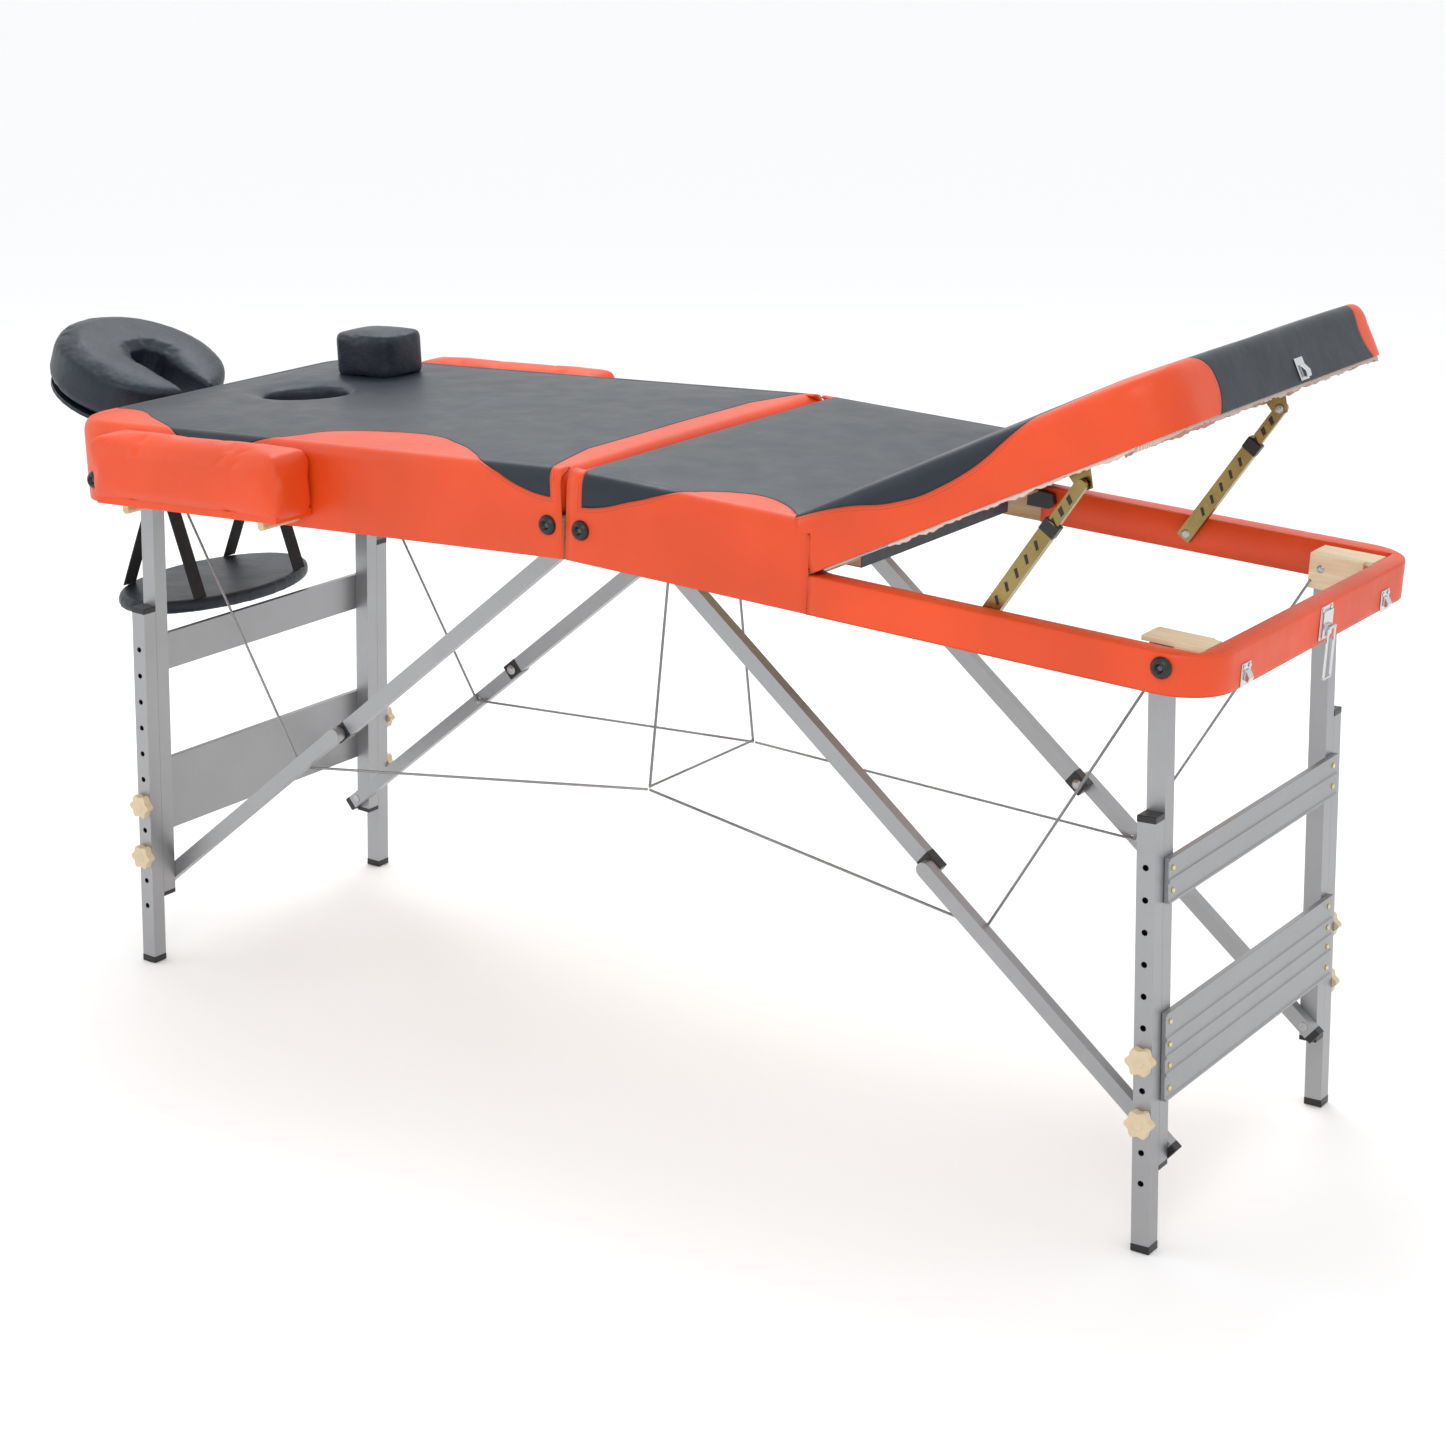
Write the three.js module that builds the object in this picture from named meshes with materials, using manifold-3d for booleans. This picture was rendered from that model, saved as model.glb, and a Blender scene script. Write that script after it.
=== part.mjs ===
// Portable massage table: two hinged halves on folding legs, a lifting backrest,
// a horseshoe headrest, armrests and a hanging arm shelf. Millimetres, +Z up.
// The foot half is on +X, the head half on -X, the floor at Z = 0.
import * as THREE from 'three';
import { mergeVertices } from 'three/addons/utils/BufferGeometryUtils.js';
import Module from 'manifold-3d';

const wasm = await Module();
wasm.setup();

// ---- driving dimensions -------------------------------------------------
const GAP = 0.3;
const DEG = Math.PI / 180;
const HALF_LENGTH = 900;
const HALF_WIDTH = 310;
const CREST_HEIGHT = 755.2;
const HALF_SLOPE = 2.45 * DEG;
const LEG_SPLAY = 1.9 * DEG;

const RAIL_WIDTH = 27;
const RAIL_HEIGHT = 48;
const END_RAIL = 26;
const CENTRE_RAIL = 9.5;
const CROSS_RAIL_FROM = 340;
const CROSS_RAIL_TO = 366;
const CROSS_RAIL_HALF = 186;
const CROSS_RAIL_LOW = 33;
const DECK_TOP = 54;
const PAD_TOP = 116;
const PAD_SOFTNESS = 14;
const CORNER_RADIUS = { head: 77, foot: 65 };

const FACE_HOLE = { u: 710, alongU: 65, alongY: 59 };
const PLUG = { u: 717, y: 177, alongU: 58, alongY: 51, height: 65 };

const HINGE_DROP = 5;
const HINGE_PIN_RADIUS = 3;
const KNUCKLE_RADIUS = 4.6;
const KNUCKLE_LENGTH = 40;
const KNUCKLE_STATIONS = [-240, 240];

const BACK_HINGE = { u: 368, w: 50 };
const BACK_LENGTH = 531;
const BACK_ANGLE = 28.5 * DEG;
const BACK_EDGE_ANGLE = 36 * DEG;
const BACK_BOARD = 8;
const BACK_PAD_TOP = 72;

const STRUT_PIVOT = { u: 590, w: 25 };
const STRUT_TOP = { u: 706, w: 213 };
const STRUT_OUTER = { from: 271, to: 282.5, height: 20, length: 154, wall: 1.6 };
const STRUT_INNER = { from: 273, to: 280.5, height: 15, length: 128 };

const LEG_PIVOT = { u: 806, w: 29 };
const LEG_DEPTH = 24;
const TUBE_WALL = 1.6;
const UPPER_LEG = { from: 222.9, to: 246.4, top: 9, bottom: -644.4 };
const LOWER_LEG = { from: 246.7, to: 270.2, top: -198 };
const FOOT_PLUG = 22;
const HOLE_PITCH = 40.2;
const HOLE_TOP = 493;
const HOLE_COUNT = 11;
const HOLE_RADIUS = 4.2;
const KNOB_HOLES = [6, 8];
const KNOB = { from: 270.5, to: 282, radius: 16.4, lobe: 2.2, lobes: 6 };
const CROSSBAR = { thickness: 8, halfWidth: 246 };
const CROSSBARS = {
  upper: { low: 444.2, high: 500.3 },
  lower: { low: 193, high: 306 },
};

const BRACE_TOP_PIVOT = { u: 24.5, w: 32 };
const BRACE_FOOT_HEIGHT = 128;
const UPPER_BRACE = { from: 189.5, to: 205.5, half: 11, length: 597 };
const LOWER_BRACE = { from: 206.5, to: 222.3, half: 10, tail: 20 };
const BRACE_BOLT_INNER = 206;
const PIVOT_RADIUS = 4;
const PIVOT_CLEARANCE = 0.4;

const ARMREST = { from: 420, to: 772, inner: 312, outer: 389, low: 29.5, high: 116 };
const ARM_BOARD = { low: 19, high: 29.2 };
const DOWEL = { stations: [457, 710], w: 13, radius: 5.5, inner: 284 };

const HEADREST_PIVOT = { u: 950, w: 26 };
const HEADREST_TILT = 23.45 * DEG;
const FORK = { y: 70, radius: 6, inner: 790 };
const CUSHION = { centre: 135.4, a: 138, b: 148, low: 15.8, high: 88, slot: 37, slotEnd: 140 };
const HEADREST_PLATE = { a: 122, b: 132, low: 9.5, high: 15.5, slot: 46, slotEnd: 140 };

const SHELF = { x: 918, a: 102, b: 181, low: 512, high: 532 };
const STRAP = { x: 912, z: 725, y: 110, width: 25, thickness: 2 };

const CABLE_RADIUS = 1.3;
const CABLE_CORNER = { x: 800, y: 200, z: 738 };
const CABLE_EYE = { x: 568, y: 203, z: 341 };
const CABLE_KNOT = { y: 130, z: 395 };
const CABLE_HINGE = { y: 72, z: 743 };

// ---- finishes -----------------------------------------------------------
function finish(colour, roughness, metalness) {
  return new THREE.MeshStandardMaterial({ color: colour, roughness, metalness });
}

const FINISH = {
  vinylBlack: finish(0x23262b, 0.5, 0),
  vinylOrange: finish(0xe4572e, 0.45, 0),
  wood: finish(0xc89b6a, 0.7, 0),
  ply: finish(0xd8b688, 0.7, 0),
  aluminium: finish(0xc9ccd0, 0.35, 1),
  steel: finish(0xb8b9bb, 0.3, 1),
  zinc: finish(0xc2a54e, 0.35, 1),
  knob: finish(0xd7c4a0, 0.5, 0),
  webbing: finish(0x17181a, 0.9, 0),
};

// ---- solid helpers ------------------------------------------------------
function toSolid(geometry) {
  geometry.deleteAttribute('normal');
  geometry.deleteAttribute('uv');
  const welded = mergeVertices(geometry, 1e-4);
  return new wasm.Manifold(new wasm.Mesh({
    numProp: 3,
    vertProperties: new Float32Array(welded.attributes.position.array),
    triVerts: new Uint32Array(welded.index.array),
  }));
}

function toGeometry(solid) {
  const mesh = solid.getMesh();
  const geometry = new THREE.BufferGeometry();
  geometry.setAttribute('position', new THREE.BufferAttribute(mesh.vertProperties, 3));
  geometry.setIndex(new THREE.BufferAttribute(mesh.triVerts, 1));
  const flat = geometry.toNonIndexed();
  flat.computeVertexNormals();
  return flat;
}

function block(x0, x1, y0, y1, z0, z1) {
  const geometry = new THREE.BoxGeometry(Math.abs(x1 - x0), Math.abs(y1 - y0), Math.abs(z1 - z0));
  geometry.translate((x0 + x1) / 2, (y0 + y1) / 2, (z0 + z1) / 2);
  return toSolid(geometry);
}

function rodAlongY(x, z, radius, y0, y1, sides = 16) {
  const geometry = new THREE.CylinderGeometry(radius, radius, Math.abs(y1 - y0), sides);
  geometry.translate(x, (y0 + y1) / 2, z);
  return toSolid(geometry);
}

function rodAlongX(y, z, radius, x0, x1, sides = 16) {
  const geometry = new THREE.CylinderGeometry(radius, radius, Math.abs(x1 - x0), sides);
  geometry.rotateZ(Math.PI / 2);
  geometry.translate((x0 + x1) / 2, y, z);
  return toSolid(geometry);
}

// A flat outline in X and Z, thickened along Y.
function plateAlongY(points, y0, y1) {
  const low = Math.min(y0, y1);
  const high = Math.max(y0, y1);
  const shape = new THREE.Shape(points);
  const geometry = new THREE.ExtrudeGeometry(shape, { depth: high - low, bevelEnabled: false });
  geometry.rotateX(Math.PI / 2);
  geometry.translate(0, high, 0);
  return toSolid(geometry);
}

// A flat outline in X and Y, raised from z0 to z1, with softened edges if wanted.
function slab(points, z0, z1, soft = 0, softSteps = 3) {
  const shape = new THREE.Shape(points);
  const geometry = new THREE.ExtrudeGeometry(shape, {
    depth: z1 - z0 - 2 * soft,
    bevelEnabled: soft > 0,
    bevelThickness: soft,
    bevelSize: soft,
    bevelOffset: -soft,
    bevelSegments: softSteps,
  });
  geometry.translate(0, 0, z0 + soft);
  return toSolid(geometry);
}

function arc(centreX, centreY, radius, from, to, steps) {
  const points = [];
  for (let i = 0; i <= steps; i += 1) {
    const angle = from + (to - from) * i / steps;
    points.push(new THREE.Vector2(centreX + radius * Math.cos(angle), centreY + radius * Math.sin(angle)));
  }
  return points;
}

function oval(centreX, centreY, a, b, steps) {
  const points = [];
  for (let i = 0; i < steps; i += 1) {
    const angle = 2 * Math.PI * i / steps;
    points.push(new THREE.Vector2(centreX + a * Math.cos(angle), centreY + b * Math.sin(angle)));
  }
  return points;
}

// An outline between an oval and a rectangle.
function softRectangle(centreX, centreY, a, b, steps) {
  const points = [];
  for (let i = 0; i < steps; i += 1) {
    const angle = 2 * Math.PI * i / steps;
    const c = Math.cos(angle);
    const s = Math.sin(angle);
    const x = centreX + a * Math.sign(c) * Math.sqrt(Math.abs(c));
    points.push(new THREE.Vector2(x, centreY + b * Math.sign(s) * Math.sqrt(Math.abs(s))));
  }
  return points;
}

// Plan outline of a half: square at the inner end, rounded corners at the outer end.
function halfOutline(side, u0, u1, halfWidth, radius) {
  const points = [new THREE.Vector2(u0, -halfWidth)];
  points.push(...arc(u1 - radius, -halfWidth + radius, radius, -Math.PI / 2, 0, 8));
  points.push(...arc(u1 - radius, halfWidth - radius, radius, 0, Math.PI / 2, 8));
  points.push(new THREE.Vector2(u0, halfWidth));
  return points.map((p) => new THREE.Vector2(side * p.x, p.y));
}

// A bar outline in X and Z running along +X, with a rounded far end.
function barOutline(start, end, half) {
  const points = [new THREE.Vector2(start, -half)];
  points.push(...arc(end, 0, half, -Math.PI / 2, Math.PI / 2, 8));
  points.push(new THREE.Vector2(start, half));
  return points;
}

// A wire through a chain of points, with a ball at every bend.
function wire(points, radius) {
  let solid = null;
  for (let i = 0; i + 1 < points.length; i += 1) {
    const along = new THREE.Vector3().subVectors(points[i + 1], points[i]);
    const middle = new THREE.Vector3().addVectors(points[i], points[i + 1]).multiplyScalar(0.5);
    const geometry = new THREE.CylinderGeometry(radius, radius, along.length(), 8);
    const turn = new THREE.Quaternion().setFromUnitVectors(new THREE.Vector3(0, 1, 0), along.normalize());
    geometry.applyQuaternion(turn);
    geometry.translate(middle.x, middle.y, middle.z);
    const piece = toSolid(geometry);
    solid = solid ? solid.add(piece) : piece;
    if (i > 0) {
      const ball = new THREE.IcosahedronGeometry(radius * 1.25, 1);
      ball.translate(points[i].x, points[i].y, points[i].z);
      solid = solid.add(toSolid(ball));
    }
  }
  return solid;
}

function place(parent, name, solid, material) {
  const mesh = new THREE.Mesh(toGeometry(solid), material);
  mesh.name = name;
  parent.add(mesh);
  return mesh;
}

function group(parent, x, y, z, turnY) {
  const holder = new THREE.Group();
  holder.position.set(x, y, z);
  holder.rotation.y = turnY;
  parent.add(holder);
  return holder;
}

// ---- assembly frame -----------------------------------------------------
const table = new THREE.Group();
table.name = 'massage_table';
const ends = [
  { name: 'head', side: -1 },
  { name: 'foot', side: 1 },
];
const flanks = [
  { name: 'near', hand: -1 },
  { name: 'far', hand: 1 },
];

// ---- wooden rail frame of one half --------------------------------------
function railFrame(end) {
  const s = end.side;
  const outline = halfOutline(s, 0.5, HALF_LENGTH, HALF_WIDTH, CORNER_RADIUS[end.name]);
  const inner = HALF_WIDTH - RAIL_WIDTH;
  let frame = slab(outline, 0, RAIL_HEIGHT);
  frame = frame.subtract(
    block(s * (0.5 + CENTRE_RAIL), s * (HALF_LENGTH - END_RAIL), -inner, inner, -1, RAIL_HEIGHT + 1),
  );
  if (end.name === 'foot') {
    const slat = RAIL_HEIGHT - 4.5;
    frame = frame.add(block(CROSS_RAIL_FROM, CROSS_RAIL_TO, -inner - 1, inner + 1, slat, RAIL_HEIGHT));
    frame = frame.add(
      block(CROSS_RAIL_FROM, CROSS_RAIL_TO, -CROSS_RAIL_HALF, CROSS_RAIL_HALF, CROSS_RAIL_LOW, RAIL_HEIGHT),
    );
  }
  for (const { hand } of flanks) {
    // Pivot bolts for the leg and the brace stand out of the side rail.
    const legPin = rodAlongY(s * LEG_PIVOT.u, LEG_PIVOT.w, PIVOT_RADIUS, hand * (inner + 1), hand * 219);
    const bracePin = rodAlongY(
      s * BRACE_TOP_PIVOT.u, BRACE_TOP_PIVOT.w, PIVOT_RADIUS, hand * (inner + 1), hand * 187,
    );
    frame = frame.add(legPin).add(bracePin);
    if (end.name === 'foot') {
      frame = frame.add(
        rodAlongY(STRUT_PIVOT.u, STRUT_PIVOT.w, 3, hand * (inner + 1), hand * 270.8),
      );
    } else {
      for (const u of DOWEL.stations) {
        frame = frame.subtract(
          rodAlongY(s * u, DOWEL.w, DOWEL.radius + GAP, hand * (inner - 1), hand * (HALF_WIDTH + 1)),
        );
      }
      frame = frame.subtract(
        rodAlongX(hand * FORK.y, HEADREST_PIVOT.w, FORK.radius + GAP,
          s * (HALF_LENGTH - END_RAIL - 1), s * (HALF_LENGTH + 1)),
      );
    }
  }
  // Butt-hinge leaves and knuckles under the centre rail.
  const pinU = HINGE_DROP * Math.sin(HALF_SLOPE);
  const pinW = -HINGE_DROP * Math.cos(HALF_SLOPE);
  for (const station of KNUCKLE_STATIONS) {
    const from = station + s * GAP;
    const to = station + s * KNUCKLE_LENGTH;
    let leaf = block(s * 2.5, s * 9.8, from, to, pinW - 1, 0.5);
    leaf = leaf.add(rodAlongY(s * pinU, pinW, KNUCKLE_RADIUS, from, to, 20));
    frame = frame.add(leaf);
    frame = frame.subtract(
      rodAlongY(s * pinU, pinW, HINGE_PIN_RADIUS + GAP, station - 50, station + 50, 20),
    );
  }
  return frame;
}

// ---- legs of one end ----------------------------------------------------
const legPivotHeight = CREST_HEIGHT - LEG_PIVOT.u * Math.sin(HALF_SLOPE)
  + LEG_PIVOT.w * Math.cos(HALF_SLOPE);

function alongLeg(height) {
  return (height - legPivotHeight) / Math.cos(LEG_SPLAY);
}

function upperLeg(hand) {
  const half = LEG_DEPTH / 2;
  const { from, to, top, bottom } = UPPER_LEG;
  const footPivot = alongLeg(BRACE_FOOT_HEIGHT);
  let tube = block(-half, half, hand * from, hand * to, bottom, top);
  tube = tube.subtract(block(
    -half + TUBE_WALL, half - TUBE_WALL,
    hand * (from + TUBE_WALL), hand * (to - TUBE_WALL), bottom - 1, top + 1,
  ));
  tube = tube.subtract(rodAlongY(0, 0, PIVOT_RADIUS + PIVOT_CLEARANCE, hand * (from - 1), hand * (to + 1)));
  // Bolt that carries the foot of the lower brace.
  tube = tube.add(rodAlongY(0, footPivot, PIVOT_RADIUS, hand * BRACE_BOLT_INNER, hand * (from + 1)));
  return tube;
}

function lowerLeg(s, hand) {
  const half = LEG_DEPTH / 2;
  const { from, to, top } = LOWER_LEG;
  const floor = alongLeg(0);
  let tube = block(-half, half, hand * from, hand * to, floor - 4, top);
  tube = tube.subtract(block(
    -half + TUBE_WALL, half - TUBE_WALL,
    hand * (from + TUBE_WALL), hand * (to - TUBE_WALL), floor + FOOT_PLUG, top + 1,
  ));
  for (let i = 0; i < HOLE_COUNT; i += 1) {
    const height = alongLeg(HOLE_TOP - i * HOLE_PITCH);
    tube = tube.subtract(
      rodAlongY(0, height, HOLE_RADIUS, hand * (to - TUBE_WALL - 2), hand * (to + 1), 8),
    );
  }
  // The foot is cut level so that it stands flat on the floor.
  const ground = new THREE.BoxGeometry(200, 1000, 100);
  ground.translate(0, 0, -50);
  ground.rotateY(s * LEG_SPLAY);
  ground.translate(0, 0, floor);
  return tube.subtract(toSolid(ground));
}

function knob(hand) {
  const points = [];
  const steps = 36;
  for (let i = 0; i < steps; i += 1) {
    const angle = 2 * Math.PI * i / steps;
    const radius = KNOB.radius + KNOB.lobe * Math.cos(KNOB.lobes * angle);
    points.push(new THREE.Vector2(radius * Math.cos(angle), radius * Math.sin(angle)));
  }
  return plateAlongY(points, hand * KNOB.from, hand * KNOB.to);
}

function buildLegs(end, half) {
  const s = end.side;
  const legs = group(half, s * LEG_PIVOT.u, 0, LEG_PIVOT.w, -s * (LEG_SPLAY + HALF_SLOPE));
  const near = LEG_DEPTH / 2 + GAP;
  for (const { name, hand } of flanks) {
    place(legs, `${end.name}_upper_leg_${name}`, upperLeg(hand), FINISH.aluminium);
    place(legs, `${end.name}_lower_leg_${name}`, lowerLeg(s, hand), FINISH.aluminium);
    KNOB_HOLES.forEach((hole, i) => {
      const height = alongLeg(HOLE_TOP - hole * HOLE_PITCH);
      const mesh = place(legs, `${end.name}_knob_${name}_${i + 1}`, knob(hand), FINISH.knob);
      mesh.position.z = height;
    });
    buildLowerBrace(end, legs, name, hand);
  }
  for (const [name, bar] of Object.entries(CROSSBARS)) {
    const solid = block(
      s * near, s * (near + CROSSBAR.thickness),
      -CROSSBAR.halfWidth, CROSSBAR.halfWidth, alongLeg(bar.low), alongLeg(bar.high),
    );
    place(legs, `${end.name}_crossbar_${name}`, solid, FINISH.aluminium);
  }
}

// ---- folding braces -----------------------------------------------------
// Seen in the plane of one half: the brace runs straight from its top pivot
// to its foot on the leg, and its middle joint lies on that line.
const footFromPivot = -alongLeg(BRACE_FOOT_HEIGHT);
const legLean = LEG_SPLAY + HALF_SLOPE;
const braceFoot = new THREE.Vector2(
  LEG_PIVOT.u + footFromPivot * Math.sin(legLean),
  LEG_PIVOT.w - footFromPivot * Math.cos(legLean),
);
const braceRun = new THREE.Vector2(braceFoot.x - BRACE_TOP_PIVOT.u, braceFoot.y - BRACE_TOP_PIVOT.w);
const braceDrop = Math.atan2(-braceRun.y, braceRun.x);
const lowerBraceLength = braceRun.length() - UPPER_BRACE.length;

function buildUpperBraces(end, half) {
  const s = end.side;
  for (const { name, hand } of flanks) {
    const holder = group(half, s * BRACE_TOP_PIVOT.u, 0, BRACE_TOP_PIVOT.w, s * braceDrop);
    const outline = barOutline(-6, UPPER_BRACE.length, UPPER_BRACE.half);
    const points = outline.map((p) => new THREE.Vector2(s * p.x, p.y));
    let bar = plateAlongY(points, hand * UPPER_BRACE.from, hand * UPPER_BRACE.to);
    bar = bar.subtract(rodAlongY(
      0, 0, PIVOT_RADIUS + PIVOT_CLEARANCE,
      hand * (UPPER_BRACE.from - 1), hand * (UPPER_BRACE.to + 1),
    ));
    place(holder, `${end.name}_upper_brace_${name}`, bar, FINISH.aluminium);
  }
}

function buildLowerBrace(end, legs, name, hand) {
  const s = end.side;
  // Measured in the leg frame, the brace climbs inwards from its foot.
  const climb = braceDrop + legLean;
  const holder = group(legs, 0, 0, -footFromPivot, s * climb);
  const outline = barOutline(-LOWER_BRACE.tail, lowerBraceLength, LOWER_BRACE.half);
  const points = outline.map((p) => new THREE.Vector2(-s * p.x, p.y));
  let bar = plateAlongY(points, hand * LOWER_BRACE.from, hand * LOWER_BRACE.to);
  bar = bar.subtract(rodAlongY(
    0, 0, PIVOT_RADIUS + PIVOT_CLEARANCE,
    hand * (LOWER_BRACE.from - 1), hand * (LOWER_BRACE.to + 1),
  ));
  place(holder, `${end.name}_lower_brace_${name}`, bar, FINISH.aluminium);
}

// ---- decks and pads -----------------------------------------------------
function buildHeadTop(half) {
  const hole = oval(-FACE_HOLE.u, 0, FACE_HOLE.alongU, FACE_HOLE.alongY, 32);
  const outline = halfOutline(-1, 1, HALF_LENGTH - 0.5, HALF_WIDTH - 0.5, CORNER_RADIUS.head);
  const deck = slab(outline, RAIL_HEIGHT + GAP, DECK_TOP);
  const pad = slab(outline, DECK_TOP + GAP, PAD_TOP, PAD_SOFTNESS);
  const cut = slab(hole, 0, PAD_TOP + 1);
  place(half, 'head_deck', deck.subtract(cut), FINISH.ply);
  place(half, 'head_pad', pad.subtract(cut), FINISH.vinylBlack);
  const low = PAD_TOP + GAP;
  const plugOutline = softRectangle(-PLUG.u, PLUG.y, PLUG.alongU, PLUG.alongY, 32);
  const plug = slab(plugOutline, low, low + PLUG.height, 9);
  place(half, 'face_hole_plug', plug, FINISH.vinylBlack);
}

function buildMiddleTop(half) {
  const width = HALF_WIDTH - 0.5;
  const deck = block(1, CROSS_RAIL_TO - 1, -width, width, RAIL_HEIGHT + GAP, DECK_TOP);
  place(half, 'middle_deck', deck, FINISH.ply);
  const corners = [[1, -width], [CROSS_RAIL_TO, -width], [CROSS_RAIL_TO, width], [1, width]];
  const outline = corners.map(([x, y]) => new THREE.Vector2(x, y));
  place(half, 'middle_pad', slab(outline, DECK_TOP + GAP, PAD_TOP, PAD_SOFTNESS), FINISH.vinylBlack);
}

// ---- backrest and its two ratchet supports ------------------------------
function buildBackrest(half) {
  const back = group(half, BACK_HINGE.u, 0, BACK_HINGE.w, -BACK_ANGLE);
  const width = HALF_WIDTH - 1;
  const board = halfOutline(1, 2.8, BACK_LENGTH, width, CORNER_RADIUS.foot);
  place(back, 'backrest_board', slab(board, GAP, BACK_BOARD), FINISH.ply);
  const padStart = 4;
  const padOutline = halfOutline(1, padStart, BACK_LENGTH + 1, width + 0.5, CORNER_RADIUS.foot);
  const pad = slab(padOutline, BACK_BOARD + GAP, BACK_PAD_TOP, PAD_SOFTNESS);
  // The hinge end of the pad is cut back so that it meets the middle pad when raised.
  const wedge = new THREE.BoxGeometry(200, 800, 300);
  wedge.translate(-100, 0, 150);
  wedge.rotateY(BACK_EDGE_ANGLE);
  wedge.translate(padStart, 0, 0);
  place(back, 'backrest_pad', pad.subtract(toSolid(wedge)), FINISH.vinylBlack);
  const pin = rodAlongY(BACK_HINGE.u, BACK_HINGE.w, 2.2, -281, 281, 12);
  place(half, 'backrest_hinge_pin', pin, FINISH.steel);
}

const strutRise = Math.atan2(STRUT_TOP.w - STRUT_PIVOT.w, STRUT_TOP.u - STRUT_PIVOT.u);
const strutLength = Math.hypot(STRUT_TOP.w - STRUT_PIVOT.w, STRUT_TOP.u - STRUT_PIVOT.u);

function buildStruts(half) {
  for (const { name, hand } of flanks) {
    const strut = group(half, STRUT_PIVOT.u, 0, STRUT_PIVOT.w, -strutRise);
    const outerHalf = STRUT_OUTER.height / 2;
    const wall = STRUT_OUTER.wall;
    let channel = plateAlongY(
      barOutline(-8, STRUT_OUTER.length, outerHalf), hand * STRUT_OUTER.from, hand * STRUT_OUTER.to,
    );
    channel = channel.subtract(block(
      14, STRUT_OUTER.length + outerHalf + 1,
      hand * (STRUT_OUTER.from + wall), hand * (STRUT_OUTER.to - wall), -outerHalf + wall, outerHalf + 1,
    ));
    channel = channel.subtract(
      rodAlongY(0, 0, 3.3, hand * (STRUT_OUTER.from - 1), hand * (STRUT_OUTER.to + 1)),
    );
    place(strut, `strut_outer_${name}`, channel, FINISH.zinc);
    const slider = plateAlongY(
      barOutline(strutLength - STRUT_INNER.length, strutLength, STRUT_INNER.height / 2),
      hand * STRUT_INNER.from, hand * STRUT_INNER.to,
    );
    place(strut, `strut_slider_${name}`, slider, FINISH.zinc);
  }
}

// ---- headrest -----------------------------------------------------------
function horseshoe(size, softness) {
  const s = -1;
  const body = slab(oval(s * CUSHION.centre, 0, size.a, size.b, 40), size.low, size.high, softness);
  const tip = size.slotEnd - size.slot;
  const slot = block(s * -30, s * tip, -size.slot, size.slot, size.low - 1, size.high + 1);
  const round = slab(oval(s * tip, 0, size.slot, size.slot, 24), size.low - 1, size.high + 1);
  return body.subtract(slot).subtract(round);
}

function buildHeadrest(half) {
  const s = -1;
  const { u, w } = HEADREST_PIVOT;
  let fork = rodAlongY(s * u, w, FORK.radius, -FORK.y - 24, FORK.y + 24);
  for (const { hand } of flanks) {
    fork = fork.add(rodAlongX(hand * FORK.y, w, FORK.radius, s * FORK.inner, s * u));
  }
  place(half, 'headrest_fork', fork, FINISH.aluminium);
  const tilt = group(half, s * u, 0, w, HEADREST_TILT);
  let plate = horseshoe(HEADREST_PLATE, 0);
  for (const { hand } of flanks) {
    const inner = hand * (FORK.y + 9);
    const outer = hand * (FORK.y + 15);
    let lug = block(s * -9, s * 60, inner, outer, -9, HEADREST_PLATE.low + 1);
    lug = lug.subtract(rodAlongY(0, 0, FORK.radius + GAP, inner - hand, outer + hand));
    plate = plate.add(lug);
  }
  place(tilt, 'headrest_plate', plate, FINISH.ply);
  const cushion = { ...CUSHION, low: CUSHION.low + GAP };
  place(tilt, 'headrest_cushion', horseshoe(cushion, PAD_SOFTNESS), FINISH.vinylBlack);
}

// ---- armrests, hanging shelf, end latch ---------------------------------
function buildArmrest(half, name, hand) {
  const s = -1;
  const { from, to, inner, outer, low, high } = ARMREST;
  const outline = [
    new THREE.Vector2(s * from, hand * inner),
    new THREE.Vector2(s * to, hand * inner),
    new THREE.Vector2(s * to, hand * outer),
    new THREE.Vector2(s * from, hand * outer),
  ];
  place(half, `armrest_pad_${name}`, slab(outline, low, high, PAD_SOFTNESS), FINISH.vinylOrange);
  const boardInner = hand * (inner + 1);
  const boardOuter = hand * (outer - 6);
  let board = block(s * (from + 8), s * (to - 8), boardInner, boardOuter, ARM_BOARD.low, ARM_BOARD.high);
  for (const u of DOWEL.stations) {
    board = board.add(rodAlongY(s * u, DOWEL.w, DOWEL.radius, hand * DOWEL.inner, boardOuter));
    board = board.add(block(s * (u - 5), s * (u + 5), boardInner, boardOuter, DOWEL.w, ARM_BOARD.high));
  }
  place(half, `armrest_board_${name}`, board, FINISH.wood);
}

function buildShelf() {
  const shelf = slab(oval(-SHELF.x, 0, SHELF.a, SHELF.b, 40), SHELF.low, SHELF.high, 4, 1);
  place(table, 'arm_shelf', shelf, FINISH.vinylBlack);
  const reach = SHELF.a * Math.sqrt(1 - (STRAP.y / SHELF.b) ** 2) - 6;
  const foot = SHELF.high + GAP;
  const t = STRAP.thickness;
  for (const { name, hand } of flanks) {
    // One webbing strap: down from the head rail on both sides of the shelf.
    const points = [
      [-STRAP.x, STRAP.z], [-SHELF.x + reach, foot], [-SHELF.x + reach - t, foot],
      [-STRAP.x, STRAP.z - 3 * t], [-SHELF.x - reach + t, foot], [-SHELF.x - reach, foot],
    ].map(([x, z]) => new THREE.Vector2(x, z));
    const y0 = hand * STRAP.y - STRAP.width / 2;
    place(table, `shelf_strap_${name}`, plateAlongY(points, y0, y0 + STRAP.width), FINISH.webbing);
  }
}

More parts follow.
